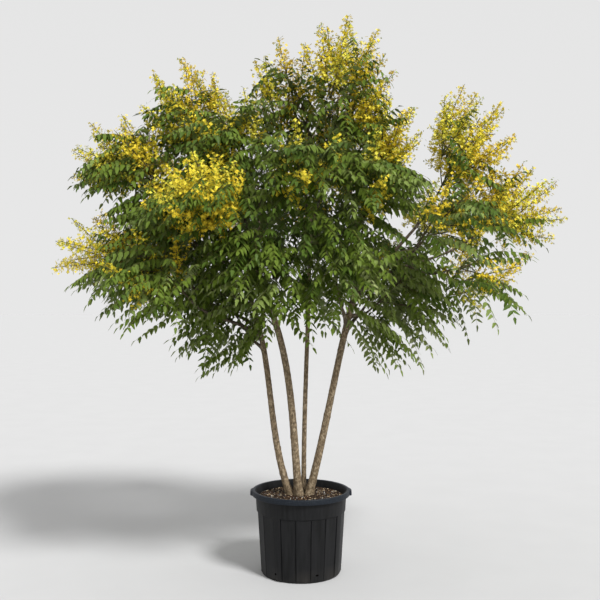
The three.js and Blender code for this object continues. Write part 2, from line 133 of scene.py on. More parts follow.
def pot_rings():
    """The pot's skin as closed rings, from the middle of the underside over the rim to the inner floor."""
    rim_foot = POT_HEIGHT - RIM_HEIGHT
    band_foot = POT_HEIGHT - BAND
    bearings = pot_bearings()

    def level(height, reach):
        ring = []
        for bearing, off_middle, groove in bearings:
            turn = math.radians(bearing)
            radius = reach(bearing, off_middle, groove) if callable(reach) else reach
            ring.append((radius * math.cos(turn), radius * math.sin(turn), height))
        return ring

    def panelled(height, depth):
        facet = math.cos(math.radians(PANEL_DEGREES / 2))
        proud = wall_radius(height) + BAND_RELIEF

        def reach(bearing, off_middle, groove):
            if off_middle is None:
                return proud
            flat = (proud - BAND_RELIEF) * facet / math.cos(math.radians(off_middle)) - groove * GROOVE_DEPTH
            return proud + (flat - proud) * depth

        return level(height, reach)

    def skirt(height, inset, grip_share=1):
        return level(height, lambda bearing, *_: RIM_RADIUS - inset + grip_share * grip(bearing))

    # The underside, its rounded edge, and the wall of panels up to the band.
    rings = [level(0, FOOT_RADIUS * share) for share in (0.02, 0.5, 0.97)]
    rings += [level(height, FOOT_RADIUS + out) for height, out in FOOT_EDGE]
    rings += [panelled(FOOT_BEVEL, 0.9), panelled(PANEL_FOOT, 1)]
    rings += [panelled(height, 1) for height in np.linspace(0.03, band_foot - 0.012, WALL_ROWS)]
    rings += [panelled(band_foot + rise, depth) for rise, depth in BAND_FOOT_EDGE]

    # The band, the rim's skirt with its grips, and the rim's rounded top.
    rings += [level(height, wall_radius(height) + BAND_RELIEF) for height in (band_foot + 0.003, 0.36, 0.385)]
    rings += [level(rim_foot - 0.003, wall_radius(rim_foot) + BAND_RELIEF)]
    rings += [level(rim_foot, wall_radius(rim_foot) + BAND_RELIEF + 0.003)]
    rings += [skirt(rim_foot + rise, inset) for rise, inset in RIM_FOOT_EDGE]
    rings += [skirt(POT_HEIGHT - RIM_ROUND, 0, 0.9)]
    for step in RIM_ROUND_STEPS:
        turn = math.radians(step)
        inset = RIM_ROUND * (1 - math.cos(turn))
        rings.append(skirt(POT_HEIGHT - RIM_ROUND * (1 - math.sin(turn)), inset, 0.8 - step / 100))
    rings += [level(POT_HEIGHT, RIM_RADIUS - RIM_ROUND), level(POT_HEIGHT, RIM_RADIUS - RIM_LIP + RIM_ROUND)]
    rings += [level(POT_HEIGHT - 0.0015, RIM_RADIUS - RIM_LIP + 0.0015)]
    rings += [level(POT_HEIGHT - RIM_ROUND, RIM_RADIUS - RIM_LIP)]

    # Down the inside of the wall and over the inner floor.
    rings += [level(rim_foot - 0.004, wall_radius(rim_foot) - WALL)]
    rings += [level(height, inner_radius(height)) for height in (0.3, 0.2, 0.1, 0.05, PANEL_FOOT)]
    rings += [level(POT_FLOOR, reach) for reach in (FOOT_RADIUS - WALL - PANEL_SET_BACK, 0.1, 0.004)]
    return rings


def mesh_piece(name, points, faces, materials, face_material=None, smooth=True):
    """A mesh object from its points and faces, with a material for each face."""
    mesh = bpy.data.meshes.new(name)
    points = np.asarray(points, np.float32).reshape(-1, 3)
    corners = np.concatenate(faces).astype(np.int32)
    sides = np.array([len(face) for face in faces], np.int32)
    mesh.vertices.add(len(points))
    mesh.vertices.foreach_set("co", points.ravel())
    mesh.loops.add(len(corners))
    mesh.loops.foreach_set("vertex_index", corners)
    mesh.polygons.add(len(sides))
    mesh.polygons.foreach_set("loop_start", np.cumsum(sides, dtype=np.int32) - sides)
    mesh.polygons.foreach_set("use_smooth", np.full(len(sides), smooth))
    for material in materials:
        mesh.materials.append(material)
    if face_material is not None:
        mesh.polygons.foreach_set("material_index", np.asarray(face_material, np.int32))
    mesh.update(calc_edges=True)
    mesh.validate()
    piece = bpy.data.objects.new(name, mesh)
    bpy.context.scene.collection.objects.link(piece)
    return piece


def ring_faces(rings, sides):
    """Quads between neighbouring rings of points, and a face across each end."""
    faces = []
    for low in range(0, (rings - 1) * sides, sides):
        high = low + sides
        for side in range(sides):
            after = (side + 1) % sides
            faces.append((low + side, low + after, high + after, high + side))
    faces.append(tuple(range(sides - 1, -1, -1)))
    faces.append(tuple(range((rings - 1) * sides, rings * sides)))
    return faces


def node_group(name, inputs, outputs):
    """An empty shader node group with its sockets; gives the group with its input and output nodes."""
    group = bpy.data.node_groups.new(name, "ShaderNodeTree")
    for socket, kind, value in inputs:
        made = group.interface.new_socket(socket, in_out="INPUT", socket_type=kind)
        made.default_value = value
    for socket, kind in outputs:
        group.interface.new_socket(socket, in_out="OUTPUT", socket_type=kind)
    return group, group.nodes.new("NodeGroupInput"), group.nodes.new("NodeGroupOutput")


def add_node(tree, kind, values=None, **settings):
    """A node with its settings, and on its sockets (by name or place) either a value or a link."""
    node = tree.nodes.new(kind)
    for key, value in settings.items():
        setattr(node, key, value)
    for key, value in (values or {}).items():
        if isinstance(value, bpy.types.NodeSocket):
            tree.links.new(value, node.inputs[key])
        else:
            node.inputs[key].default_value = value
    return node


def opaque(colour):
    """A colour given as red, green and blue takes its alpha; one that is already a socket stays."""
    return colour if isinstance(colour, bpy.types.NodeSocket) else (*colour, 1)


def colour_mix(tree, factor, first, second):
    """A colour between two, by a factor socket."""
    values = {0: factor, 6: opaque(first), 7: opaque(second)}
    return add_node(tree, "ShaderNodeMix", values, data_type="RGBA").outputs[2]


def product(tree, first, second):
    return add_node(tree, "ShaderNodeMath", {0: first, 1: second}, operation="MULTIPLY").outputs[0]


def stretched(tree, place, factors):
    return add_node(tree, "ShaderNodeVectorMath", {0: place, 1: factors}, operation="MULTIPLY").outputs[0]


def object_place(tree):
    return add_node(tree, "ShaderNodeTexCoord").outputs["Object"]


def ramp(tree, value, low, high):
    """0 below low, 1 above high, straight between, or the other way round."""
    values = {"Value": value, "From Min": low, "From Max": high}
    return add_node(tree, "ShaderNodeMapRange", values).outputs["Result"]


def finish_material(name, roughness, specular=0.5):
    """A material with its Principled shader, plain roughness and gloss."""
    material = bpy.data.materials.new(name)
    material.use_nodes = True
    shader = material.node_tree.nodes["Principled BSDF"]
    shader.inputs["Roughness"].default_value = roughness
    shader.inputs["Specular IOR Level"].default_value = specular
    return material, material.node_tree, shader


# Fine grain over a surface: soft-edged patches as a mask, and the noise behind them as a height for a bump.
grain_group, grain_in, grain_out = node_group(
    "grain",
    [("Scale", "NodeSocketFloat", 100.0), ("Stretch", "NodeSocketVector", (1, 1, 1))],
    [("Mask", "NodeSocketFloat"), ("Height", "NodeSocketFloat")],
)
grain_noise = add_node(grain_group, "ShaderNodeTexNoise", {
    "Vector": stretched(grain_group, object_place(grain_group), grain_in.outputs["Stretch"]),
    "Scale": grain_in.outputs["Scale"],
    "Detail": 5.0,
}).outputs["Fac"]
grain_group.links.new(ramp(grain_group, grain_noise, 0.36, 0.64), grain_out.inputs["Mask"])
grain_group.links.new(grain_noise, grain_out.inputs["Height"])


def grain_in_material(tree, scale, stretch=(1, 1, 1)):
    """The grain's outputs in a material, at its own scale and stretch."""
    values = {"Scale": scale, "Stretch": stretch}
    return add_node(tree, "ShaderNodeGroup", values, node_tree=grain_group).outputs


def bump_to(tree, shader, height, distance, strength=1.0):
    bump = add_node(tree, "ShaderNodeBump", {"Height": height, "Distance": distance, "Strength": strength})
    tree.links.new(bump.outputs["Normal"], shader.inputs["Normal"])


def make_pot_material():
    """Black plastic: speckled on the rim, with a painted sheen there as a lighter bluish tone, splashed with
    dust low down, with the mould's faint drag marks on the wall."""
    material, tree, shader = finish_material("pot_plastic", 0.55, 0.2)
    speckle = grain_in_material(tree, 520)
    cloud = grain_in_material(tree, 9, (1, 1, 0.6))
    drag = grain_in_material(tree, 70, (1, 1, 0.04))
    place = object_place(tree)
    height = add_node(tree, "ShaderNodeSeparateXYZ", {0: place}).outputs["Z"]
    level = stretched(tree, place, (1, 1, 0))
    reach = add_node(tree, "ShaderNodeVectorMath", {0: level}, operation="LENGTH").outputs["Value"]
    wall = colour_mix(tree, cloud["Mask"], (0.0032, 0.0033, 0.0034), (0.0062, 0.0064, 0.0070))
    ribbed = colour_mix(tree, drag["Mask"], wall, (0.0095, 0.0097, 0.0105))
    # The rim's colour: real specks on a lighter bluish tone, which is a painted sheen.
    specks = ramp(tree, speckle["Height"], 0.50, 0.70)
    rim_specks_and_sheen = colour_mix(tree, specks, (0.005, 0.008, 0.013), (0.036, 0.043, 0.054))
    rim_sheen_mask = product(tree, ramp(tree, height, 0.398, 0.401), ramp(tree, reach, 0.2372, 0.2390))
    with_rim_sheen = colour_mix(tree, rim_sheen_mask, ribbed, rim_specks_and_sheen)
    splash = product(tree, ramp(tree, height, 0.08, 0.0), cloud["Mask"])
    dusty = colour_mix(tree, product(tree, splash, 0.16), with_rim_sheen, (0.12, 0.105, 0.085))
    tree.links.new(dusty, shader.inputs["Base Color"])
    sheen = {"Value": cloud["Height"], "To Min": 0.42, "To Max": 0.62}
    rough = add_node(tree, "ShaderNodeMapRange", sheen).outputs["Result"]
    tree.links.new(rough, shader.inputs["Roughness"])
    bump_to(tree, shader, speckle["Height"], 0.0006, 0.6)
    return material


def drain_cutter(bearing):
    """The punch that makes one drain hole, a slot with rounded corners."""
    points = []
    for reach in (WALL_BASE - PUNCH_REACH, WALL_BASE + PUNCH_REACH):
        for corner in range(DRAIN_CORNERS):
            turn = 2 * math.pi * corner / DRAIN_CORNERS
            across, rise = (size / 2 * math.copysign(abs(wave) ** DRAIN_SQUARENESS, wave)
                            for size, wave in zip(DRAIN_SIZE, (math.cos(turn), math.sin(turn))))
            points.append((reach, across, DRAIN_MIDDLE + rise))
    piece = mesh_piece("drain_cutter", points, ring_faces(2, DRAIN_CORNERS), [])
    piece.data.transform(Matrix.Rotation(math.radians(bearing), 4, "Z"))
    return piece


def cut_drain_holes(pot):
    for hole in range(DRAIN_HOLES):
        cutter = drain_cutter(DRAIN_BEARING + hole * 360 / DRAIN_HOLES)
        cut = pot.modifiers.new("drain", "BOOLEAN")
        cut.operation = "DIFFERENCE"
        cut.solver = "EXACT"
        cut.object = cutter
        with bpy.context.temp_override(object=pot, active_object=pot):
            bpy.ops.object.modifier_apply(modifier=cut.name)
        bpy.data.objects.remove(cutter)


pot_skin = pot_rings()
pot = mesh_piece("nursery_pot", np.concatenate(pot_skin), ring_faces(len(pot_skin), len(pot_skin[0])),
                 [make_pot_material()])
cut_drain_holes(pot)
pot.data.set_sharp_from_angle(angle=math.radians(SHARP_DEGREES))
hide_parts("pot")
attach(pot, "root")

# The potting mix: composted bark, dark and moist, filled to just under the rim and a little hollow round the
# wall, with loose flakes of bark, pale wood chips and grains of perlite lying on it.

SOIL_TOP = 0.399
SOIL_EDGE_DROP = 0.006
SOIL_LEVEL_TO = 0.15
SOIL_RELIEF = 0.0022
SOIL_GAP = 0.0006
SOIL_AT_DRAINS = 0.009
SOIL_SIDES = 120
SOIL_RINGS = 46
BARK_FLAKES = 1500
WOOD_CHIPS = 480
PERLITE_GRAINS = 260
LITTER_RISE = 0.006
LITTER_BEDDING = 0.35


def turns_round(sides):
    return np.linspace(0, 2 * math.pi, sides, endpoint=False)


def unit_circle(sides):
    """Points of a level circle of radius 1 round the origin."""
    turns = turns_round(sides)
    return np.stack([np.cos(turns), np.sin(turns), np.zeros(sides)], 1)


def soil_relief(x, y):
    """Small heaps and hollows of the soil's surface, as a share of its relief."""
    heaps = np.sin(61 * x + 1.3) * np.sin(57 * y + 0.4)
    ridges = 0.6 * np.sin(143 * x - 91 * y) + 0.5 * np.sin(117 * y + 83 * x + 2)
    return (heaps + ridges + 0.35 * np.sin(331 * x + 1) * np.sin(287 * y)) / 2


def soil_height(x, y):
    reach = np.hypot(x, y)
    wall = wall_radius(SOIL_TOP) - WALL
    drop = SOIL_EDGE_DROP * np.clip((reach - SOIL_LEVEL_TO) / (wall - SOIL_LEVEL_TO), 0, 1) ** 1.5
    return SOIL_TOP - SOIL_RELIEF - drop + SOIL_RELIEF * soil_relief(x, y)


def soil_rings():
    """The mix's skin: up the inside of the pot, set back behind the drain holes, and inwards over its top."""
    circle = unit_circle(SOIL_SIDES)
    edge_height = SOIL_TOP - SOIL_EDGE_DROP - 0.004
    edge_radius = wall_radius(edge_height) - WALL - SOIL_GAP
    drain_radius = inner_radius(DRAIN_MIDDLE) - SOIL_AT_DRAINS
    rings = []
    for height, radius in (
        (POT_FLOOR + SOIL_GAP, 0.01),
        (POT_FLOOR + SOIL_GAP, FOOT_RADIUS - WALL - PANEL_SET_BACK - SOIL_GAP),
        (PANEL_FOOT, inner_radius(FOOT_BEVEL) - SOIL_GAP),
        (DRAIN_MIDDLE - DRAIN_SIZE[1], drain_radius),
        (DRAIN_MIDDLE + DRAIN_SIZE[1], drain_radius),
        (0.06, inner_radius(0.06) - SOIL_GAP),
        (0.3, inner_radius(0.3) - SOIL_GAP),
        (edge_height, edge_radius),
    ):
        rings.append(circle * radius + (0, 0, height))
    for radius in np.linspace(edge_radius, 0.004, SOIL_RINGS):
        x, y, _ = (circle * radius).T
        rings.append(np.stack([x, y, soil_height(x, y)], 1))
    return rings


def make_soil_material():
    material, tree, shader = finish_material("potting_mix", 0.95, 0.2)
    crumbs = grain_in_material(tree, 210)
    clods = grain_in_material(tree, 60)
    base = colour_mix(tree, clods["Mask"], (0.007, 0.004, 0.002), (0.030, 0.016, 0.009))
    mixed = colour_mix(tree, ramp(tree, crumbs["Height"], 0.54, 0.68), base, (0.080, 0.046, 0.025))
    tree.links.new(mixed, shader.inputs["Base Color"])
    bump_to(tree, shader, crumbs["Height"], 0.003)
    return material


def mottled_material(name, roughness, specular, scale, first, second, stretch=(1, 1, 1), relief=0.0):
    """A material that changes between two colours by the grain's patches, and may take relief from it."""
    material, tree, shader = finish_material(name, roughness, specular)
    grain = grain_in_material(tree, scale, stretch)
    tree.links.new(colour_mix(tree, grain["Mask"], first, second), shader.inputs["Base Color"])
    if relief:
        bump_to(tree, shader, grain["Height"], relief)
    return material


def chip_material(name, dark, light):
    return mottled_material(name, 0.85, 0.25, 260, dark, light, stretch=(1, 3, 1), relief=0.0008)


# A flake's shape: a wedge-like block of six corners, wider at one end, before it is scaled and turned.
FLAKE_POINTS = np.array([
    (-1, -0.7, -0.5), (-0.8, 0.8, -0.5), (1, 0.15, -0.5),
    (-0.8, -0.45, 0.5), (-0.65, 0.6, 0.35), (0.7, -0.1, 0.45),
]) / 2
FLAKE_FACES = np.array([
    (0, 1, 2), (3, 5, 4), (0, 3, 4), (0, 4, 1), (1, 4, 5), (1, 5, 2), (2, 5, 3), (2, 3, 0),
])


def turned(points, rng, tilt):
    """Copies of the points, each turned at random about Z and tipped by up to `tilt` radians."""
    count = len(points)
    spin = rng.uniform(0, 2 * math.pi, count)
    tip = rng.uniform(-tilt, tilt, count)
    way = rng.uniform(0, 2 * math.pi, count)
    axis = np.stack([np.cos(way), np.sin(way), np.zeros(count)], 1)[:, None, :]
    cos_spin, sin_spin = np.cos(spin)[:, None], np.sin(spin)[:, None]
    x, y, z = points[..., 0], points[..., 1], points[..., 2]
    flat = np.stack([x * cos_spin - y * sin_spin, x * sin_spin + y * cos_spin, z], 2)
    cos_tip, sin_tip = np.cos(tip)[:, None, None], np.sin(tip)[:, None, None]
    along = (flat * axis).sum(2, keepdims=True)
    square = np.cross(np.broadcast_to(axis, flat.shape), flat)
    return flat * cos_tip + square * sin_tip + axis * along * (1 - cos_tip)


def scattered(name, count, lengths, shares, tilt, seed, materials):
    """Loose flakes on the mix: `lengths` from the smallest to the largest, and `shares` of the length for the
    width and the thickness."""
    rng = np.random.default_rng(seed)
    reach = (wall_radius(SOIL_TOP) - WALL - lengths[1]) * np.sqrt(rng.uniform(0, 1, count))
    turn = rng.uniform(0, 2 * math.pi, count)
    size = lengths[0] + (lengths[1] - lengths[0]) * rng.uniform(0, 1, count) ** 2.2
    shape = FLAKE_POINTS[None] * np.array([1, *shares]) * size[:, None, None]
    shape = shape * rng.uniform(0.75, 1.25, (count, 1, 3))
    x, y = reach * np.cos(turn), reach * np.sin(turn)
    place = np.stack([x, y, soil_height(x, y) + size * shares[1] * LITTER_BEDDING], 1)[:, None, :]
    points = turned(shape, rng, tilt) + place
    points[..., 2] = np.minimum(points[..., 2], SOIL_TOP + LITTER_RISE)
    faces = (FLAKE_FACES[None] + (np.arange(count) * len(FLAKE_POINTS))[:, None, None]).reshape(-1, 3)
    dealt = np.repeat(rng.integers(0, len(materials), count), len(FLAKE_FACES))
    piece = mesh_piece(name, points, faces, materials, dealt, smooth=False)
    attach(piece, "root")


soil_skin = soil_rings()
soil = mesh_piece("potting_mix", np.concatenate(soil_skin), ring_faces(len(soil_skin), SOIL_SIDES),
                  [make_soil_material()])
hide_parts("soil")
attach(soil, "root")

scattered("bark_flakes", BARK_FLAKES, (0.003, 0.019), shares=(0.5, 0.28), tilt=0.7, seed=3, materials=[
    chip_material("dark_bark_flake", (0.010, 0.006, 0.004), (0.030, 0.017, 0.010)),
    chip_material("red_bark_flake", (0.034, 0.015, 0.008), (0.080, 0.038, 0.020)),
    chip_material("brown_bark_flake", (0.060, 0.034, 0.018), (0.12, 0.073, 0.040)),
])
scattered("wood_chips", WOOD_CHIPS, (0.004, 0.016), shares=(0.38, 0.3), tilt=0.8, seed=4, materials=[
    chip_material("tan_wood_chip", (0.36, 0.24, 0.13), (0.54, 0.39, 0.23)),
    chip_material("pale_wood_chip", (0.56, 0.44, 0.29), (0.76, 0.64, 0.45)),
])
scattered("perlite", PERLITE_GRAINS, (0.002, 0.006), shares=(0.85, 0.8), tilt=1.5, seed=5, materials=[
    chip_material("perlite_grain", (0.58, 0.55, 0.50), (0.78, 0.76, 0.71)),
])

# The stems: four from one root, standing in the soil and fanning out to left and right. Their bark is thin,
# grey and tan, with shallow cracks, old leaf scars and knots, and each swells where it meets the soil.

STEMS = {
    "stem_left": dict(foot=(-0.058, 0.010), top=(-0.224, 0.030, 1.285), lean=(21, 15),
                      radius=(0.019, 0.0155, 0.014), flare=0.003),
    "stem_middle": dict(foot=(-0.011, -0.010), top=(-0.168, -0.070, 1.394), lean=(6, 24),
                        radius=(0.021, 0.018, 0.016), flare=0.007),
    "stem_slender": dict(foot=(0.015, 0.052), top=(0.042, 0.130, 2.280), lean=(-1, -8.5),
                         radius=(0.013, 0.011, 0.0055), flare=0.003),
    "stem_right": dict(foot=(0.042, 0.006), top=(0.265, -0.015, 1.394), lean=(15, 14.5),
                       radius=(0.021, 0.0175, 0.0165), flare=0.005),
}
FLARE_HEIGHT = 0.034
FLARE_LOBES = 3
FOOT_SINK = 0.012
FOOT_SWELL = 1.05
STEM_STEP = 0.0045
STEM_SIDES = 30
STEM_SEED = 20
STEM_RELIEF, STEM_FULL_RELIEF_RADIUS = 0.00085, 0.017
STEM_KNOTS_PER_METRE = 11
KNOT_SIZE = (0.005, 0.011)
KNOT_RISE = (1.2, 3.2)
KNOT_LIMB_RADIUS = 0.018
DIMPLE_SHARE, DIMPLE_SHARPNESS = 0.7, 7
UP = np.array([0.0, 0.0, 1.0])

# The bark's waves: how many go round the limb, the pitch of their sway along it, and their weight.
BARK_WAVES = ((2, 0.19, 0.5), (3, 0.083, 0.45), (5, 0.047, 0.4), (8, 0.027, 0.42), (11, 0.014, 0.35))


def unit(vector):
    return vector / np.linalg.norm(vector, axis=-1, keepdims=True)


def bezier(curve, shares):
    """Points on a curve of three or four control points."""
    shares = np.atleast_1d(np.asarray(shares, float))[:, None]
    points = [np.asarray(point, float)[None] for point in curve]
    while len(points) > 1:
        points = [(1 - shares) * first + shares * second for first, second in zip(points, points[1:])]
    return points[0]


def tangents(path):
    return unit(np.gradient(path, axis=0))


def leaning(heading, degrees):
    turn = math.radians(degrees)
    return heading * math.sin(turn) + UP * math.cos(turn)


def stem_curve(stem):
    start = np.array([*stem["foot"], SOIL_TOP])
    end = np.array(stem["top"])
    heading = unit((end - start) * (1, 1, 0))
    handle = np.linalg.norm(end - start) / 3
    leaving, arriving = (leaning(heading, degrees) for degrees in stem["lean"])
    return [start, start + leaving * handle, end - arriving * handle, end]


def frames_along(path):
    """Two directions square to the path at each of its points, without twist."""
    along = tangents(path)
    first = np.cross(along[0], (0, 1, 0) if abs(along[0][1]) < 0.8 else (1, 0, 0))
    sideways = [unit(first)]
    for direction in along[1:]:
        carried = sideways[-1] - direction * (sideways[-1] @ direction)
        sideways.append(unit(carried))
    sideways = np.array(sideways)
    return sideways, np.cross(along, sideways)


def tube(path, radii, sides, relief=0.0):
    """Rings of points round a path; `relief` adds to each radius by ring and side."""
    sideways, other = frames_along(path)
    turns = turns_round(sides)[None, :, None]
    reach = np.asarray(radii)[:, None] + np.zeros(sides) + relief
    ring = sideways[:, None] * np.cos(turns) + other[:, None] * np.sin(turns)
    return path[:, None] + ring * reach[..., None]


def run_along(path):
    """How far along a path each of its points is."""
    return np.concatenate([[0], np.cumsum(np.linalg.norm(np.diff(path, axis=0), axis=1))])


def bark_relief(path, sides, depth, rng, knots):
    """Cracks along the limb, low swellings, and knots with a dimple, as a height by ring and side."""
    run = run_along(path)[:, None]
    turns = turns_round(sides)[None]
    relief = np.zeros((len(path), sides))
    for around, pitch, weight in BARK_WAVES:
        sway = rng.uniform(0, 6.28, 3)
        swerve = 1.4 * np.sin(run * 2 * math.pi / pitch + sway[1])
        relief += weight * np.sin(around * turns + sway[0] + swerve)
        relief += 0.5 * weight * np.sin(run * 2 * math.pi / (0.7 * pitch) + (around - 1) * turns + sway[2])
    relief *= depth / 2
    for _ in range(knots):
        place, bearing = rng.uniform(0.03, run[-1, 0]), rng.uniform(0, 2 * math.pi)
        size, height = rng.uniform(*KNOT_SIZE), rng.uniform(*KNOT_RISE) * depth
        off = np.abs((turns - bearing + math.pi) % (2 * math.pi) - math.pi) * KNOT_LIMB_RADIUS
        away = ((run - place) ** 2 + off**2) / size**2
        relief += height * (np.exp(-away) - DIMPLE_SHARE * np.exp(-away * DIMPLE_SHARPNESS))
    return relief


def stem_radius(stem, share, height):
    first, half, last = stem["radius"]
    taper = np.where(share < 0.5, first + (half - first) * 2 * share, half + (last - half) * (2 * share - 1))
    return taper + stem["flare"] * np.exp(-share * height / FLARE_HEIGHT)


def bark_group():
    """The bark's pattern: mottled plates between two tones, pale lichen patches and dark cracks."""
    group, given, gives = node_group(
        "bark",
        [("Dark", "NodeSocketColor", (0, 0, 0, 1)), ("Light", "NodeSocketColor", (1, 1, 1, 1)),
         ("Pale", "NodeSocketColor", (1, 1, 1, 1)), ("Cracks", "NodeSocketFloat", 0.5)],
        [("Color", "NodeSocketColor"), ("Height", "NodeSocketFloat")],
    )
    place = object_place(group)

    def noise(scale, stretch, detail=4.0):
        values = {"Vector": stretched(group, place, (1, 1, stretch)), "Scale": scale, "Detail": detail}
        return add_node(group, "ShaderNodeTexNoise", values).outputs["Fac"]

    mottle = ramp(group, noise(110, 0.6), 0.40, 0.60)
    lichen = ramp(group, noise(75, 0.8, 6.0), 0.53, 0.64)
    crack_noise = noise(260, 0.4, 3.0)
    crack = ramp(group, crack_noise, 0.46, 0.37)
    plain = colour_mix(group, mottle, given.outputs["Dark"], given.outputs["Light"])
    patched = colour_mix(group, lichen, plain, given.outputs["Pale"])
    depth = product(group, crack, given.outputs["Cracks"])
    group.links.new(colour_mix(group, depth, patched, (0.030, 0.023, 0.016)), gives.inputs["Color"])
    group.links.new(crack_noise, gives.inputs["Height"])
    return group


BARK = bark_group()


def bark_material(name, dark, light, pale, cracks, roughness=0.85):
    material, tree, shader = finish_material(name, roughness, 0.3)
    values = {"Dark": opaque(dark), "Light": opaque(light), "Pale": opaque(pale), "Cracks": cracks}
    bark = add_node(tree, "ShaderNodeGroup", values, node_tree=BARK).outputs
    tree.links.new(bark["Color"], shader.inputs["Base Color"])
    bump_to(tree, shader, bark["Height"], 0.0016, 0.9)
    return material


stem_bark = bark_material("stem_bark", dark=(0.125, 0.088, 0.050), light=(0.262, 0.196, 0.120),
                          pale=(0.37, 0.293, 0.193), cracks=0.65)

for index, (name, stem) in enumerate(STEMS.items()):
    rng = np.random.default_rng(STEM_SEED + index)
    stem["curve"] = stem_curve(stem)
    stem["height"] = stem["top"][2] - SOIL_TOP
    shares = np.linspace(0, 1, int(stem["height"] / STEM_STEP))
    path = bezier(stem["curve"], shares)
    radii = stem_radius(stem, shares, stem["height"])
    knots = int(STEM_KNOTS_PER_METRE * stem["height"])
    relief = bark_relief(path, STEM_SIDES, STEM_RELIEF, rng, knots)
    relief = relief * np.minimum(radii / STEM_FULL_RELIEF_RADIUS, 1)[:, None]
    lobes = np.cos(FLARE_LOBES * turns_round(STEM_SIDES)[None] + index)
    relief = relief + stem["flare"] * 0.5 * lobes * np.exp(-(path[:, 2:3] - SOIL_TOP) / FLARE_HEIGHT)
    below = path[0] - tangents(path)[0] * FOOT_SINK
    path = np.concatenate([[below], path])
    radii = np.concatenate([[radii[0] * FOOT_SWELL], radii])
    relief = np.concatenate([relief[:1], relief])
    skin = tube(path, radii, STEM_SIDES, relief)
    piece = mesh_piece(f"{name}_bark", skin, ring_faces(len(skin), STEM_SIDES), [stem_bark])
    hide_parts(name)
    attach(piece, "root")

# The boughs: each leaves a stem or a lower bough with a small collar, rises and thins to where it enters a
# mass of leaves. Their bark is younger and smoother than the stems', and darker, partly by age and partly as
# painted shade under the crown.

# Each mass of foliage: the stem or bough that carries it and the share of its length at which its own bough
# leaves, then its middle and its size, and how much it is in bloom, from 0 to 5.
MASSES = {
    "left_spire": ("stem_left", 1, (-0.625, 0.140, 2.385), (0.540, 0.560, 0.680), 3),
    "far_left": ("left_spire", 0.1, (-1.010, 0.030, 1.630), (0.640, 0.600, 0.540), 3),
    "left_side": ("left_spire", 0.3, (-0.700, -0.060, 1.800), (0.540, 0.560, 0.500), 1),
    "upper_left": ("left_spire", 0.45, (-0.925, 0.060, 2.120), (0.620, 0.600, 0.580), 3),
    "back_left": ("left_spire", 0.38, (-0.660, 0.560, 2.030), (0.680, 0.640, 0.660), 2),
    "back_left_low": ("stem_left", 0.94, (-0.760, 0.470, 1.570), (0.680, 0.640, 0.600), 1),
    "front_left_low": ("stem_left", 0.9, (-0.700, -0.350, 1.510), (0.580, 0.640, 0.540), 1),
    "left_hanging": ("stem_left", 0.84, (-0.420, 0.040, 1.370), (0.520, 0.600, 0.620), 0),
    "middle_top": ("stem_middle", 1, (-0.370, -0.080, 2.220), (0.460, 0.560, 0.640), 2),
    "front_left": ("middle_top", 0.15, (-0.460, -0.470, 1.850), (0.600, 0.640, 0.540), 5),
    "core": ("middle_top", 0.35, (-0.200, 0.060, 2.010), (0.520, 0.520, 0.560), 0),
    "front_middle_low": ("stem_middle", 0.93, (-0.190, -0.400, 1.570), (0.540, 0.640, 0.600), 0),
    "slender_spire": ("stem_slender", None, (-0.090, 0.130, 2.470), (0.460, 0.520, 0.760), 2),
    "front_centre": ("stem_slender", 0.62, (0.020, -0.480, 1.980), (0.500, 0.640, 0.600), 1),
    "back_centre": ("stem_slender", 0.5, (-0.060, 0.600, 1.850), (0.720, 0.640, 0.720), 1),
    "back_top": ("stem_slender", 0.72, (0.170, 0.450, 2.250), (0.600, 0.640, 0.700), 2),
    "leader": ("stem_right", 1, (0.230, -0.010, 2.510), (0.560, 0.580, 0.820), 4),
    "leader_front": ("leader", 0.25, (0.330, -0.280, 1.960), (0.500, 0.600, 0.640), 1),
    "leader_right": ("leader", 0.45, (0.480, 0.110, 2.230), (0.380, 0.480, 0.620), 3),
    "right_top": ("stem_right", 0.98, (0.870, 0.030, 2.170), (0.560, 0.580, 0.780), 4),
    "far_right": ("right_top", 0.16, (1.110, 0.0, 1.850), (0.560, 0.600, 0.600), 3),
    "right_low": ("far_right", 0.35, (0.930, -0.060, 1.490), (0.680, 0.640, 0.560), 1),
    "front_right": ("right_top", 0.3, (0.710, -0.420, 1.760), (0.580, 0.640, 0.560), 1),
    "right_hanging": ("stem_right", 0.92, (0.550, 0.060, 1.420), (0.560, 0.600, 0.800), 0),
    "front_centre_low": ("stem_right", 0.87, (0.140, -0.380, 1.590), (0.500, 0.640, 0.620), 0),
    "back_right": ("right_top", 0.4, (0.800, 0.540, 1.820), (0.680, 0.640, 0.640), 2),
    "back_right_low": ("stem_right", 0.82, (0.470, 0.480, 1.550), (0.660, 0.640, 0.600), 1),
}
BOUGH_BASE, BOUGH_LEADER, BOUGH_TIP = 0.72, 0.94, 0.0055
BOUGH_OVERLAP, BOUGH_ENTRY, BOUGH_HANDLE = 0.008, 0.74, 0.36
BOUGH_TURN_OUT, BOUGH_LIFT = 1.5, 0.45
BOUGH_STEP = 0.008
BOUGH_SIDES = 14
BOUGH_SEED = 40
BOUGH_RELIEF, BOUGH_FULL_RELIEF_RADIUS = 0.0007, 0.012
BOUGH_KNOTS_PER_METRE = 8
COLLAR_HEIGHT = 0.018
COLLAR_SHARE = 0.35

masses = {}
for name, (carrier, at, middle, size, blooms) in MASSES.items():
    stem_name = carrier if carrier in STEMS else masses[carrier]["stem"]
    masses[name] = dict(name=name, carrier=carrier, at=at, middle=np.array(middle), half=np.array(size) / 2,
                        blooms=blooms, stem=stem_name)


def carrier_of(mass):
    return STEMS[mass["carrier"]] if mass["carrier"] in STEMS else masses[mass["carrier"]]


def radius_of(limb, share):
    """The radius of a stem or a bough at a share of its length."""
    if "height" in limb:
        return stem_radius(limb, share, limb["height"])
    return limb["base"] + (BOUGH_TIP - limb["base"]) * share


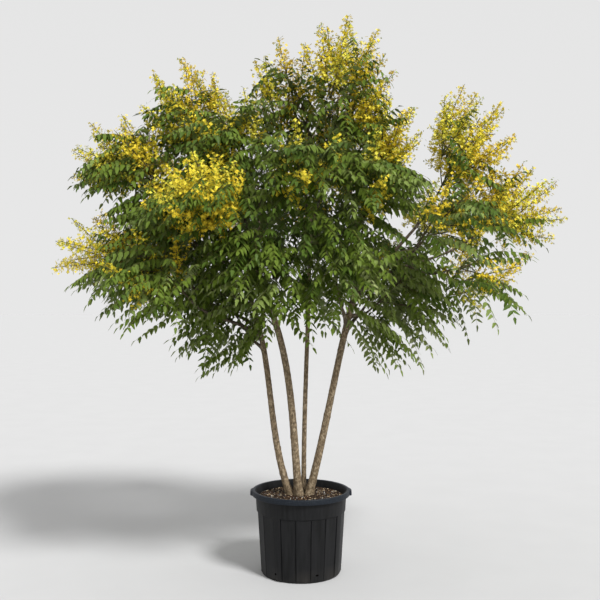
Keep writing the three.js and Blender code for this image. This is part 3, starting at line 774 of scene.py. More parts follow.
def bough_curve(mass):
    """From its carrier's axis to the place where it enters its mass, by the same rule as the solids."""
    parent = carrier_of(mass)
    goes_on = mass["at"] == 1
    spots = bezier(parent["curve"], [mass["at"] - 0.001, min(mass["at"] + 0.001, 1)])
    along = unit(spots[1] - spots[0])
    root = bezier(parent["curve"], mass["at"])[0]
    if goes_on:
        root = root - along * BOUGH_OVERLAP
    inward = root - mass["middle"]
    depth = max(np.linalg.norm(inward / mass["half"]), 1)
    tip = mass["middle"] + inward * BOUGH_ENTRY / depth
    towards = unit(-inward)
    leaving = along if goes_on else unit(along + towards * BOUGH_TURN_OUT)
    arriving = unit(towards + UP * BOUGH_LIFT)
    handle = np.linalg.norm(tip - root) * BOUGH_HANDLE
    return [root, root + leaving * handle, tip - arriving * handle, tip]


def base_radius(mass):
    """The radius at a bough's foot, a little less than that of its carrier there."""
    share = BOUGH_LEADER if mass["at"] == 1 else BOUGH_BASE
    return max(radius_of(carrier_of(mass), mass["at"]) * share, BOUGH_TIP)


def joined(parts):
    """Several sets of rings, each of its own number of sides, as one list of points and one of faces."""
    points, faces, start = [], [], 0
    for skin in parts:
        rings, sides = skin.shape[:2]
        points.append(skin.reshape(-1, 3))
        faces += [tuple(corner + start for corner in face) for face in ring_faces(rings, sides)]
        start += rings * sides
    return np.concatenate(points), faces


def with_bough(mass):
    return mass["at"] is not None


# Darker than the stems' bark: partly younger bark, and partly painted shade under the crown.
bough_bark_with_painted_shade = bark_material("bough_bark_with_painted_shade", dark=(0.060, 0.044, 0.030), light=(0.135, 0.103, 0.070),
                           pale=(0.21, 0.18, 0.13), cracks=0.6)

for mass in filter(with_bough, masses.values()):
    mass["curve"] = bough_curve(mass)
    mass["base"] = base_radius(mass)

for stem_name in STEMS:
    rng = np.random.default_rng(BOUGH_SEED)
    skins = []
    carried = [mass for mass in filter(with_bough, masses.values()) if mass["stem"] == stem_name]
    for mass in carried:
        length = run_along(bezier(mass["curve"], np.linspace(0, 1, 20)))[-1]
        shares = np.linspace(0, 1, max(int(length / BOUGH_STEP), 8))
        path = bezier(mass["curve"], shares)
        collar = 0 if mass["at"] == 1 else COLLAR_SHARE
        radii = radius_of(mass, shares) * (1 + collar * np.exp(-shares * length / COLLAR_HEIGHT))
        relief = bark_relief(path, BOUGH_SIDES, BOUGH_RELIEF, rng, int(BOUGH_KNOTS_PER_METRE * length))
        relief = relief * np.minimum(radii / BOUGH_FULL_RELIEF_RADIUS, 1)[:, None]
        skins.append(tube(path, radii, BOUGH_SIDES, relief))
    points, faces = joined(skins)
    piece = mesh_piece(f"boughs_of_{stem_name}", points, faces, [bough_bark_with_painted_shade])
    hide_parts(*[f"bough_{mass['name']}" for mass in carried])
    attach(piece, "root")

# The twigs: in each mass a leading shoot goes on from the bough, with twigs in a spiral round it, and short
# side shoots on those. They are this year's wood, green to red-brown, and the leaves stand at their joints.

GOLDEN_ANGLE = math.pi * (3 - math.sqrt(5))
TINY = 1e-6

# The same seeds and shares as in the solids, so that a mass's twigs grow where the solid's do.
FIRST_SEED = 113
SEED_STEP = 10
SHOOT_TOP, SHOOT_OUTWARD = 0.5, 0.25
TWIG_COUNT = 5
TWIG_FROM = (0.2, 0.85)
TWIG_RISE = (-0.5, 0.85)
TWIG_REACH = 0.58

TWIG_SEED = 100
WALL_SLACK = 0.09
REACH_STEP = 0.01
SIDE_SHOOTS = (0.32, 0.58, 0.84)
SIDE_LENGTH = (0.07, 0.16)
SIDE_ALONG, SIDE_LIFT = 0.8, 0.2
TWIG_ARCH, SIDE_ARCH = 0.07, 0.05
SHOOT_RADIUS = (0.0052, 0.0026)
TWIG_RADIUS = (0.0032, 0.0018)
SIDE_RADIUS = (0.0020, 0.0012)
SHOOT_STEPS, TWIG_STEPS, SIDE_STEPS = 12, 7, 4
TWIG_SIDES, SIDE_SIDES = 6, 4
MIDDLE_SPRAY = 0.5


def source_random(seed, count):
    """The numbers that the solids' seeded rule draws first from a seed, so that both grow the same way."""
    word = 0xFFFFFFFF
    drawn = []
    for _ in range(count):
        seed += 0x6D2B79F5
        mixed = seed & word
        mixed = ((mixed ^ (mixed >> 15)) * (mixed | 1)) & word
        mixed ^= (mixed + (((mixed ^ (mixed >> 7)) * (mixed | 61)) & word)) & word
        drawn.append((mixed ^ (mixed >> 14)) / (word + 1))
    return drawn


def place_in(mass, points, slack=0.0):
    """Points seen from a mass's middle, in shares of its half sizes: at length 1 is its ellipsoid's skin."""
    return (points - mass["middle"]) / (mass["half"] + slack)


def in_space(mass, points, slack=0.0, wall_slack=0.0):
    """Whether points lie in a mass's own space: its ellipsoid, on its side of the walls to its neighbours,
    and in the box round all the solids."""
    inside = np.linalg.norm(place_in(mass, points, slack), axis=-1) <= 1
    room = min(slack, 0)
    inside &= ((points > cad_lowest - room) & (points < cad_highest + room)).all(axis=-1)
    for other in masses.values():
        if other is mass:
            continue
        across = other["middle"] - mass["middle"]
        distance = np.linalg.norm(across)
        share = np.linalg.norm(mass["half"]) / (np.linalg.norm(mass["half"]) + np.linalg.norm(other["half"]))
        inside &= (points - mass["middle"]) @ (across / distance) < distance * share + wall_slack
    return inside


def room_ahead(mass, point, direction, longest, slack=0.0, wall_slack=0.0):
    """How far one can go from a point in a direction and still be in the mass's space."""
    reach = np.arange(longest, 0, -REACH_STEP)
    inside = in_space(mass, point + direction * reach[:, None], slack, wall_slack)
    return float(reach[inside.argmax()]) if inside.any() else 0.0


def arched(start, end, lift, count):
    """A path from start to end with a gentle arch."""
    middle = (start + end) / 2 + UP * np.linalg.norm(end - start) * lift
    return bezier([start, middle, end], np.linspace(0, 1, count))


def between(ends, share):
    return ends[0] + (ends[1] - ends[0]) * share


def along_path(path, share):
    at = share * (len(path) - 1)
    low = min(int(at), len(path) - 2)
    return between(path[low:low + 2], at - low)


def round_way(first, second, turn):
    """A way at a turn between two that are square to each other."""
    return first * math.cos(turn) + second * math.sin(turn)


def raised_way(first, second, axis, turn, rise):
    """A way at a turn round an axis that rises towards it: square to it at 0 and along it at 1."""
    return math.sqrt(1 - rise * rise) * round_way(first, second, turn) + rise * axis


def way_and_end(mass, start, target):
    """The way from a point to a target, and how far the mass's space lets it go, as a point."""
    way = unit(target - start)
    return way, start + way * room_ahead(mass, start, way, np.linalg.norm(target - start))


def one_twig(path, radii, sides, kind, spray):
    return dict(path=path, radii=np.linspace(*radii, len(path)), sides=sides, kind=kind, spray=spray)


def add_side_shoots(twigs, mass, path, way, spray, rng):
    square, other = (ways[0] for ways in frames_along(path))
    for number, share in enumerate(SIDE_SHOOTS):
        place = along_path(path, share)
        side = round_way(square, other, number * GOLDEN_ANGLE + rng.uniform(0, 2 * math.pi))
        heading = unit(side + SIDE_ALONG * way + SIDE_LIFT * UP)
        length = room_ahead(mass, place, heading, rng.uniform(*SIDE_LENGTH))
        if length > SIDE_LENGTH[0] / 2:
            side_path = arched(place, place + heading * length, SIDE_ARCH, SIDE_STEPS)
            twigs.append(one_twig(side_path, SIDE_RADIUS, SIDE_SIDES, "side", spray))


def grow_twigs(mass, rng, index):
    """The mass's twigs: the leading shoot and the twigs round it, each followed by its side shoots. A twig
    and its side shoots are one spray, whose number from 0 to 1 says how young its leaves look."""
    limb = mass["curve"] if with_bough(mass) else carrier_of(mass)["curve"]
    along, start = tangents(bezier(limb, (0.98, 0.99, 1)))[-1], limb[-1]
    bearing = math.atan2(mass["middle"][1], mass["middle"][0])
    outward = np.array([SHOOT_OUTWARD * math.cos(bearing), SHOOT_OUTWARD * math.sin(bearing), SHOOT_TOP])
    way, end = way_and_end(mass, start, outward * mass["half"] + mass["middle"])
    bend = start + along * np.linalg.norm(end - start) / 2
    shoot_curve = [start, bend, end]
    shoot = bezier(shoot_curve, np.linspace(0, 1, SHOOT_STEPS))
    twigs = [one_twig(shoot, SHOOT_RADIUS, TWIG_SIDES, "shoot", MIDDLE_SPRAY)]
    add_side_shoots(twigs, mass, shoot, way, MIDDLE_SPRAY, rng)
    first_bearing = source_random(FIRST_SEED + index * SEED_STEP, 2)[1] * 2 * math.pi
    for twig in range(TWIG_COUNT):
        rise = between(TWIG_RISE, (twig + 0.5) / TWIG_COUNT)
        direction = raised_way(*np.eye(3), first_bearing + twig * GOLDEN_ANGLE, rise)
        root = bezier(shoot_curve, between(TWIG_FROM, twig / (TWIG_COUNT - 1)))[0]
        way, tip = way_and_end(mass, root, direction * mass["half"] * TWIG_REACH + mass["middle"])
        path = arched(root, tip, TWIG_ARCH, TWIG_STEPS)
        spray = rng.uniform()
        twigs.append(one_twig(path, TWIG_RADIUS, TWIG_SIDES, "twig", spray))
        add_side_shoots(twigs, mass, path, way, spray, rng)
    return twigs


young_bark = bark_material("twig_bark", dark=(0.055, 0.040, 0.020), light=(0.105, 0.085, 0.036),
                           pale=(0.13, 0.115, 0.055), cracks=0.3, roughness=0.7)
cad_lowest, cad_highest = (np.array(corner) for corner in cad_bounds)

for index, mass in enumerate(masses.values()):
    mass["rng"] = np.random.default_rng(TWIG_SEED + index)
    mass["twigs"] = grow_twigs(mass, mass["rng"], index)

# The leaves: each is made up of eleven to twenty-one toothed leaflets, in pairs on a thin stalk, which runs
# outwards from the twig and arches down, with the leaflets hanging from it. They are thin and a little glossy.

# How a leaf sets out from its limb: the ways and lengths that are tried, and how far past the edge of its
# mass's space it may reach.
LEAF_LENGTH = 0.39
LEAF_SHORTEST = 0.21
LEAF_LENGTH_STEP = 0.02
LEAF_TRIES = 16
LEAF_OUTWARD = 0.55
LEAF_FROM_STEMS = (0.8, 0.25)
LEAF_ALONG = 0.2
LEAF_SCATTER = 0.36
LEAF_FLATNESS = 0.4
LEAF_LIFT = (-0.15, 0.2)
LEAF_DROOP = (0.15, 0.45)
LEAF_SLACK = (-0.08, 0.03)
LEAF_VARIETY = (0.9, 1)

# Where the crown isn't the same throughout: leaves reach further in its heart, are fewer towards its edge and
# on its open right side, hang more the lower they are, and lie closer at the top.
CROWN_MIDDLE, CROWN_HALF = (0.0, 0.05, 1.95), (1.32, 0.85, 0.93)
HEART_SLACK = 0.22
HEART_REACH = 0.7
THIN_FROM, THIN_TO = 0.5, 0.95
THIN_SHARE, THIN_SHARE_ON_LIMBS = 0.60, 0.9
OPEN_FROM, OPEN_TO, OPEN_SHARE = 0.25, 0.65, 1.2
TOP_FROM, TOP_TO = 2.0, 2.6
TOP_SLACK = -0.02
LOW_FROM, LOW_TO = 1.9, 1.45
LOW_FALL = 1.2
FALL_REACH = 0.62
FALL_SLACK = 0.14
LEAST_FALL = 0.3

# What makes one of the leaves tried better than another, beside its distance from the leaves around it.
LENGTH_WORTH = 0.8
OUTER_WORTH = 0.12

# The leaf's stalk, the pairs of leaflets on it, and how each leaflet hangs, curls and folds.
STALK_RADIUS = (0.0013, 0.0006)
STALK_SIDES = 3
STALK_STEPS = 5
BARE_STALK = 0.16
PAIR_PITCH = 0.032
LEAST_PAIRS = 3
PAIR_STAGGER = 0.012
LEAFLET_LENGTH = 0.048
LEAFLET_VARIETY = (0.85, 1.12)
LEAFLET_SPREAD, LEAFLET_FORWARD, LEAFLET_HANG = (0.4, 0.85), (0.25, 0.6), (0.4, 0.9)
LEAFLET_TILT, LEAFLET_SCATTER = (0.3, 1.0), 0.2
LEAFLET_CURL, LEAFLET_FOLD = (0.0, 0.25), (0.05, 0.5)

# How far a mass's panicles lean outwards, and how far round its middle the fullest blossom keeps leaves away.
BLOSSOM_TILT = (0.25, 0.8)
FULL_LEAN_REACH = 1.1
FULL_BLOOM_REACH = 1.2

# What each step of bloom, from 0 to 5, means for a mass: how many panicles it bears, and up to what share of
# its half size, in the way in which they stand, its leaves may reach.
PANICLES = (0, 4, 8, 13, 16, 25)
LEAFY_SHARE = (1.0, 0.8, 0.65, 0.52, 0.48, 0.35)
FULL_BLOOM = len(PANICLES) - 1

# Where leaves stand, in shares of the length of the limb that bears them, and the number that decides the
# green of those on boughs and stems.
LIMB_SPRAY = 0.5
LEAVES_ON = {
    "shoot": (0.1, 0.25, 0.4, 0.55, 0.7, 0.85, 1),
    "twig": (0.1, 0.28, 0.46, 0.64, 0.82, 1),
    "side": (0.1, 0.35, 0.6, 0.8, 1),
    "bough": (0.3, 0.4, 0.5, 0.6, 0.7, 0.79, 0.87, 0.93, 0.98),
    "stem_slender": np.linspace(0.46, 0.8, 21),
    "stem_right": (0.9, 0.95, 0.98),
    "stem_middle": (0.9, 0.94, 0.97),
    "stem_left": (0.95, 0.98),
}

# Where the photo shows no leaves: the middle (across, up) and radius of each gap, seen from the front and
# measured at the pot's depth.
SEEN_FROM = (-0.005, -4.33, 1.41)
GAPS = (
    (-0.52, 2.63, 0.13), (-0.27, 2.60, 0.08), (-0.99, 2.36, 0.08), (-1.15, 2.18, 0.09), (-1.20, 1.63, 0.14),
    (-0.35, 1.27, 0.08), (0.28, 1.28, 0.08), (0.57, 2.22, 0.14), (0.55, 1.80, 0.09), (1.04, 2.21, 0.15),
    (1.24, 1.97, 0.13), (1.13, 1.52, 0.11), (0.92, 2.48, 0.06),
)

# Half a leaflet's outline from its foot to its tip, along and across, with a coarse tooth.
LEAFLET_EDGE = ((0.10, 0.15), (0.36, 0.225), (0.45, 0.17), (0.74, 0.125))
LEAFLET_MIDDLE = 0.42


def leaflet_template():
    """A leaflet's points (along, across), and the triangles from its middle to its edge."""
    far_edge = [(along, -across) for along, across in reversed(LEAFLET_EDGE)]
    edge = [(0.0, 0.0), *LEAFLET_EDGE, (1.0, 0.0), *far_edge]
    points = np.array([(LEAFLET_MIDDLE, 0.0), *edge])
    faces = [(0, 1 + (place + 1) % len(edge), 1 + place) for place in range(len(edge))]
    return points, np.array(faces)


def distance_out(mass):
    """How far a mass is from the stems: 0 over the pot and 1 at the crown's edge."""
    return min(np.linalg.norm(mass["middle"][:2]) / FULL_LEAN_REACH, 1)


def blossom_side(mass):
    """The way in which a mass's panicles stand: up, and outwards the more the further it is from the pot."""
    return unit(UP + between(BLOSSOM_TILT, distance_out(mass)) * unit(mass["middle"] * (1, 1, 0)))


def leaf_paths(ways, droop):
    """Paths of unit length from the origin, each setting out in its own way and arching down."""
    shares = np.linspace(0, 1, STALK_STEPS)[:, None]
    paths = ways[:, None] * shares - UP * (droop[:, None, None] * shares**2)
    return paths / np.linalg.norm(np.diff(paths, axis=1), axis=2).sum(1)[:, None, None]


def evenly(path, count):
    """The same path through points that are equally far apart."""
    run = run_along(path)
    return np.stack([np.interp(np.linspace(0, run[-1], count), run, values) for values in path.T], 1)


def crown_reach(point):
    """How far a point is from the middle of the crown: 0 there and about 1 at the edge."""
    return np.linalg.norm((point - CROWN_MIDDLE) / CROWN_HALF)


def ramped(value, start, end):
    """0 up to the start, 1 from the end, and straight between."""
    return np.clip((value - start) / (end - start), 0, 1)


def thinned(root):
    """How far the leaves are thinned out at a place: towards the crown's edge, and on its open right side."""
    towards_edge = ramped(crown_reach(root), THIN_FROM, THIN_TO)
    return max(towards_edge, OPEN_SHARE * ramped(root[0], OPEN_FROM, OPEN_TO))


def in_crown(points, slack):
    """Whether points lie in any mass's ellipsoid."""
    places = np.stack([place_in(mass, points, slack) for mass in masses.values()])
    return (np.linalg.norm(places, axis=-1) <= 1).any(axis=0)


def in_gap(points):
    """Whether points, seen from the front, lie where the photo shows no leaves."""
    nearer = SEEN_FROM[1] / (SEEN_FROM[1] - points[..., 1])
    across, rise = points[..., 0] * nearer, SEEN_FROM[2] + (points[..., 2] - SEEN_FROM[2]) * nearer
    return np.any([np.hypot(across - x, rise - z) < radius for x, z, radius in GAPS], axis=0)


def leafy(mass, points):
    """Whether points lie below a mass's panicles, where its leaves may reach."""
    return place_in(mass, points) @ blossom_side(mass) < LEAFY_SHARE[mass["blooms"]]


def in_full_bloom(points):
    """Whether points lie among the panicles of a mass that is one patch of blossom."""
    inside = np.zeros(points.shape[:-1], bool)
    for mass in masses.values():
        if mass["blooms"] == FULL_BLOOM:
            near = np.linalg.norm(place_in(mass, points), axis=-1) < FULL_BLOOM_REACH
            inside |= near & ~leafy(mass, points)
    return inside


def leaf_candidates(mass, root, along, rng, anywhere):
    """Leaves tried at one place: their paths, each of unit length, and how long each could be in the mass's
    space, or in the whole crown."""
    low = ramped(root[2], LOW_FROM, LOW_TO)
    low *= np.clip(1 - np.linalg.norm(root[:2]) / FALL_REACH, LEAST_FALL, 1)
    heart = max(1 - crown_reach(root) / HEART_REACH, 0)
    high = ramped(root[2], TOP_FROM, TOP_TO)
    outward = unit(root - mass["middle"] + TINY) * LEAF_OUTWARD
    outward = outward + unit(root * (1, 1, 0)) * between(LEAF_FROM_STEMS, high)
    ways = outward + along * LEAF_ALONG + rng.normal(0, LEAF_SCATTER, (LEAF_TRIES, 3))
    ways[:, 2] = ways[:, 2] * LEAF_FLATNESS + rng.uniform(*LEAF_LIFT, LEAF_TRIES)
    ways[:, 2] -= LOW_FALL * low * rng.uniform(0, 1, LEAF_TRIES)
    paths = leaf_paths(unit(ways), rng.uniform(*LEAF_DROOP, LEAF_TRIES))
    reach = np.arange(LEAF_LENGTH, LEAF_SHORTEST, -LEAF_LENGTH_STEP)
    ends = root + paths[:, None, -1] * reach[:, None]
    slack = rng.uniform(*LEAF_SLACK) + max(FALL_SLACK * low, HEART_SLACK * heart) + TOP_SLACK * high
    if anywhere:
        inside = in_crown(ends, slack) & ~in_full_bloom(ends)
    else:
        inside = in_space(mass, ends, slack, WALL_SLACK) & leafy(mass, ends)
    inside &= ~in_gap(ends) & ~in_gap((root + ends) / 2)
    return paths, np.where(inside.any(1), reach[inside.argmax(1)], 0)


def grow_leaf(mass, root, along, rng, placed, anywhere):
    """The best of the leaves tried at a place: far from the leaves placed so far, long, and well out."""
    paths, longest = leaf_candidates(mass, root, along, rng, anywhere)
    middles = root + paths[:, STALK_STEPS // 2] * longest[:, None]
    apart = np.full(LEAF_TRIES, LEAF_LENGTH)
    if placed:
        nearest = np.linalg.norm(middles[:, None] - np.array(placed)[None], axis=2).min(1)
        apart = np.minimum(nearest, LEAF_LENGTH)
    outer = np.linalg.norm(place_in(mass, middles), axis=1)
    worth = np.where(longest > 0, apart + longest * LENGTH_WORTH + outer * OUTER_WORTH, -1)
    best = int(worth.argmax())
    if worth[best] < 0:
        return None
    placed.append(middles[best])
    length = longest[best] * rng.uniform(*LEAF_VARIETY)
    return dict(stalk=root + evenly(paths[best], STALK_STEPS) * length, length=length, middle=middles[best])


def leaflets_of(leaf, rng):
    """A leaf's leaflets in pairs, with one at the tip: feet, axes, faces, lengths, curls and folds."""
    pairs = max(int(leaf["length"] * (1 - BARE_STALK) / PAIR_PITCH), LEAST_PAIRS)
    shares = np.repeat(BARE_STALK + (1 - BARE_STALK) * np.arange(pairs + 1) / pairs, 2)[:-1]
    count = len(shares)
    side = np.where(np.arange(count) % 2 == 0, 1.0, -1.0)[:, None]
    side[-1] = 0
    shares[:-1] += rng.uniform(-PAIR_STAGGER, PAIR_STAGGER, count - 1)

    def on_stalk(ahead):
        return np.array([along_path(leaf["stalk"], min(max(share + ahead, 0), 1)) for share in shares])

    feet = on_stalk(0)
    along = unit(on_stalk(0.02) - on_stalk(-0.06))
    level = unit(np.cross(along, UP + 1e-4))
    above = np.cross(level, along)
    spread, forward, hang = (rng.uniform(*ends, (count, 1))
                             for ends in (LEAFLET_SPREAD, LEAFLET_FORWARD, LEAFLET_HANG))
    steep = along[:, 2:3] ** 2
    axes = level * side * spread * (1 + 0.5 * steep) + along * forward - UP * hang * (1 - 0.8 * steep)
    axes[-1] = along[-1] - UP * hang[-1] * 0.4
    axes = unit(axes)
    faces = above * 0.8 + level * side * rng.uniform(*LEAFLET_TILT, (count, 1))
    faces = faces + rng.normal(0, LEAFLET_SCATTER, (count, 3))
    faces = unit(faces - axes * (faces * axes).sum(1, keepdims=True))
    size = LEAFLET_LENGTH * (0.7 + 0.42 * np.sin(np.pi * np.clip(shares, 0.1, 0.92)))
    size *= rng.uniform(*LEAFLET_VARIETY, count)
    return feet, axes, faces, size, rng.uniform(*LEAFLET_CURL, count), rng.uniform(*LEAFLET_FOLD, count)


def leaflets_mesh(parts):
    """All leaflets of a piece at once: points and triangles."""
    flat, triangles = leaflet_template()
    feet, axes, facing = (np.concatenate([part[item] for part in parts])[:, None] for item in (0, 1, 2))
    length, curl, fold = (np.concatenate([part[item] for part in parts])[:, None, None] for item in (3, 4, 5))
    across = np.cross(facing, axes)
    x, y = flat[None, :, 0:1], flat[None, :, 1:2]
    points = feet + length * (axes * x + across * y + facing * (fold * np.abs(y) - curl * x**2))
    faces = triangles[None] + (np.arange(len(feet)) * len(flat))[:, None, None]
    return points.reshape(-1, 3), faces.reshape(-1, 3), len(triangles)


def leaf_material(name, colour, young, beneath, roughness):
    """A leaf's green, with a fine mottle of veins; its underside is paler and duller."""
    material, tree, shader = finish_material(name, roughness, 0.14)
    veins = grain_in_material(tree, 150)
    upper = colour_mix(tree, veins["Mask"], colour, young)
    back = add_node(tree, "ShaderNodeNewGeometry").outputs["Backfacing"]
    tree.links.new(colour_mix(tree, back, upper, beneath), shader.inputs["Base Color"])
    bump_to(tree, shader, veins["Height"], 0.0010, 0.4)
    return material


# The greens run from dark to pale. The two palest are partly a painted sheen: their pale, greyish tone stands
# in for the gloss of sunlit leaflets.
LEAF_GREENS = [
    leaf_material("leaf_dark", (0.052, 0.084, 0.004), (0.072, 0.112, 0.008), (0.110, 0.148, 0.034), 0.5),
    leaf_material("leaf_blue", (0.056, 0.098, 0.011), (0.078, 0.130, 0.019), (0.118, 0.162, 0.044), 0.45),
    leaf_material("leaf_green", (0.092, 0.140, 0.014), (0.124, 0.180, 0.025), (0.155, 0.198, 0.052), 0.5),
    leaf_material("leaf_bright_and_sheen", (0.150, 0.205, 0.042), (0.200, 0.262, 0.068), (0.210, 0.258, 0.088), 0.5),
    leaf_material("leaf_young_and_sheen", (0.255, 0.305, 0.100), (0.330, 0.385, 0.150), (0.300, 0.345, 0.140), 0.5),
]
GREEN_STEPS = (0.20, 0.38, 0.64, 0.86)
# Painted light: leaves hanging low are dealt paler greens between these heights, as if sunlit.
GREEN_BY_SPRAY, GREEN_BY_LEAF, PAINTED_LIGHT_BY_LOWNESS = 0.40, 0.42, 0.24
PAINTED_LIGHT_FROM, PAINTED_LIGHT_FULL_AT = 1.75, 1.15
stalk_material = bark_material("leaf_stalk", dark=(0.12, 0.125, 0.025), light=(0.19, 0.185, 0.045),
                               pale=(0.23, 0.22, 0.06), cracks=0.1, roughness=0.6)


def green_of(leaf, spray, rng):
    """Deals a green to a whole leaf: much the same over a spray, and brighter on the low hanging ones as
    painted light.
    """
    low = ramped(leaf["stalk"][-1][2], PAINTED_LIGHT_FROM, PAINTED_LIGHT_FULL_AT)
    pick = GREEN_BY_SPRAY * spray + GREEN_BY_LEAF * rng.uniform() + PAINTED_LIGHT_BY_LOWNESS * low
    return int(np.digitize(pick, GREEN_STEPS))


def leaves_along(mass, path, shares, spray, placed, anywhere=False):
    """The leaves at some places along a twig, or anywhere in the crown round a bough or a stem, with their
    leaflets and their green."""
    along, rng, made = tangents(path), mass["rng"], []
    thin_share = THIN_SHARE_ON_LIMBS if anywhere else THIN_SHARE
    for share in shares:
        root = along_path(path, share)
        if rng.uniform() < thin_share * thinned(root):
            continue
        leaf = grow_leaf(mass, root, along[int(round(share * (len(path) - 1)))], rng, placed, anywhere)
        if leaf is not None:
            leaf["leaflets"] = leaflets_of(leaf, rng)
            leaf["green"] = green_of(leaf, spray, rng)
            made.append(leaf)
    return made


for mass in masses.values():
    mass["leaves"], placed, kept = [], [], []
    for twig in mass["twigs"]:
        made = leaves_along(mass, twig["path"], LEAVES_ON[twig["kind"]], twig["spray"], placed)
        mass["leaves"] += made
        if made or twig["kind"] != "side":
            kept.append(twig)
    mass["twigs"] = kept

# The limbs' own leaves fill what the twigs leave empty, anywhere in the crown.
placed = [leaf["middle"] for mass in masses.values() for leaf in mass["leaves"]]
for mass in filter(with_bough, masses.values()):
    path = bezier(mass["curve"], np.linspace(0, 1, 30))
    mass["leaves"] += leaves_along(mass, path, LEAVES_ON["bough"], LIMB_SPRAY, placed, anywhere=True)
for stem_name in ("stem_slender", "stem_right", "stem_middle", "stem_left"):
    first = next(mass for mass in masses.values() if mass["stem"] == stem_name)
    path = bezier(STEMS[stem_name]["curve"], np.linspace(0, 1, 60))
    first["leaves"] += leaves_along(first, path, LEAVES_ON[stem_name], LIMB_SPRAY, placed, anywhere=True)

for stem_name in STEMS:
    carried = [mass for mass in masses.values() if mass["stem"] == stem_name]
    grown = [leaf for mass in carried for leaf in mass["leaves"]]
    parts = [leaf["leaflets"] for leaf in grown]
    dealt = np.repeat([leaf["green"] for leaf in grown], [len(part[0]) for part in parts])
    twigs = [twig for mass in carried for twig in mass["twigs"]]
    twig_skins = [tube(twig["path"], twig["radii"], twig["sides"]) for twig in twigs]
    stalk_radii = np.linspace(*STALK_RADIUS, STALK_STEPS)
    stalk_skins = [tube(leaf["stalk"], stalk_radii, STALK_SIDES) for leaf in grown]
    side = stem_name.removeprefix("stem_")
    points, faces = joined(twig_skins + stalk_skins)
    on_stalks = np.arange(len(faces)) >= len(joined(twig_skins)[1])
    twig_piece = mesh_piece(f"twigs_{side}", points, faces, [young_bark, stalk_material], on_stalks)
    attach(twig_piece, "root")
    points, triangles, per_leaflet = leaflets_mesh(parts)
    leaves = mesh_piece(f"leaves_{side}", points, triangles, LEAF_GREENS, np.repeat(dealt, per_leaflet))
    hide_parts(*[f"foliage_{mass['name']}" for mass in carried])
    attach(leaves, "root")

# The blossom: upright, branched panicles stand out of the crown at the ends of the shoots. Each bears many
# small yellow flowers of four narrow petals, set along fine side stalks that shorten towards the top.

PANICLE_SLACK = -0.02
PANICLE_RISE = (0.97, 0.15)
PANICLE_LENGTH = (0.27, 0.42)
PANICLE_LEAN = (0.10, 0.65)
LEAN_FROM_MIDDLE = 0.6
LEAN_WORTH, LENGTH_COST = 0.35, 2
PANICLE_BEND = 0.10
BRANCH_PITCH = 0.015
BRANCH_FROM, BRANCH_TO = 0.14, 0.985
BRANCH_LENGTH, BRANCH_SHORTENING = (0.44, 0.04), 0.7
BRANCH_VARIETY = (0.7, 1.15)
BRANCH_RISE = (0.6, 1.0)
BRANCH_ARCH = 0.06
CLUSTER_FROM = 0.25
CLUSTER_PITCH = 0.0125
CLUSTER_FLOWERS = (3, 5)
CLUSTER_RADIUS = 0.0095
BUD_SHARE = (0.14, 0.38)
BUD_SIZE = 0.65
FLOWER_SCATTER = 0.8
FLOWER_SIZE = (0.0076, 0.0106)
PETALS = 4
PETAL_WIDTH = 0.38
PETAL_WAIST, PETAL_CUP, PETAL_TIP_CUP = 0.5, 0.25, 0.1
AXIS_RADIUS = (0.0034, 0.0012)
AXIS_STEPS, AXIS_SIDES = 8, 4
BRANCH_RADIUS = (0.0009, 0.0005)
BRANCH_STEPS, BRANCH_SIDES = 3, 3


def panicle(root, direction, length, rng):
    """A panicle's stalks as tubes, and the place, facing and size of each flower and whether it is a bud."""
    sway = unit(rng.normal(0, 1, 3) * (1, 1, 0.2))
    steps = np.linspace(0, 1, AXIS_STEPS)[:, None]
    axis_path = root + length * (direction * steps + sway * PANICLE_BEND * steps * (1 - steps))
    skins = [tube(axis_path, np.linspace(*AXIS_RADIUS, AXIS_STEPS), AXIS_SIDES)]
    square, other = (ways[0] for ways in frames_along(axis_path))
    turn = rng.uniform(0, 2 * math.pi)
    places, buds = [], []
    for share in np.arange(BRANCH_FROM, BRANCH_TO, BRANCH_PITCH / length):
        turn += GOLDEN_ANGLE
        start = along_path(axis_path, share)
        heading = unit(round_way(square, other, turn) + direction * rng.uniform(*BRANCH_RISE))
        reach = length * between(BRANCH_LENGTH, share**BRANCH_SHORTENING) * rng.uniform(*BRANCH_VARIETY)
        path = arched(start, start + heading * reach, BRANCH_ARCH, BRANCH_STEPS)
        skins.append(tube(path, np.linspace(*BRANCH_RADIUS, BRANCH_STEPS), BRANCH_SIDES))
        for out in np.arange(CLUSTER_FROM, 1.01, CLUSTER_PITCH / reach):
            count = rng.integers(*CLUSTER_FLOWERS)
            middle = along_path(path, min(out, 1))
            places.append(middle + rng.normal(0, CLUSTER_RADIUS, (count, 3)))
            buds.append(rng.uniform(0, 1, count) < between(BUD_SHARE, share))
    places, buds = np.concatenate(places), np.concatenate(buds)
    facing = unit(direction + rng.normal(0, FLOWER_SCATTER, places.shape))
    size = rng.uniform(*FLOWER_SIZE, len(places)) * np.where(buds, BUD_SIZE, 1)
    return skins, (places, facing, size, buds)


def flower_mesh(places, facing, size):
    """All flowers of a piece at once: each petal is a narrow folded kite of two triangles."""
    size = size[:, None]
    first = unit(np.cross(facing, UP + np.array([0.01, 0.02, 0])))
    second = np.cross(facing, first)
    corners = []
    for turn in turns_round(PETALS):
        out, across = round_way(first, second, turn), round_way(second, -first, turn)
        waist = places + (out * PETAL_WAIST + facing * PETAL_CUP) * size
        tip = places + (out + facing * PETAL_TIP_CUP) * size
        corners += [places, waist + across * PETAL_WIDTH * size, tip, waist - across * PETAL_WIDTH * size]
    points = np.stack(corners, 1)
    kite = np.array([(0, 1, 2), (0, 2, 3)])
    faces = np.concatenate([kite + 4 * petal for petal in range(PETALS)])
    rows = (np.arange(len(places)) * 4 * PETALS)[:, None, None]
    return points.reshape(-1, 3), (faces[None] + rows).reshape(-1, 3), len(faces)


def petal_material(name, colour, paler):
    return mottled_material(name, 0.65, 0.2, 160, colour, paler)


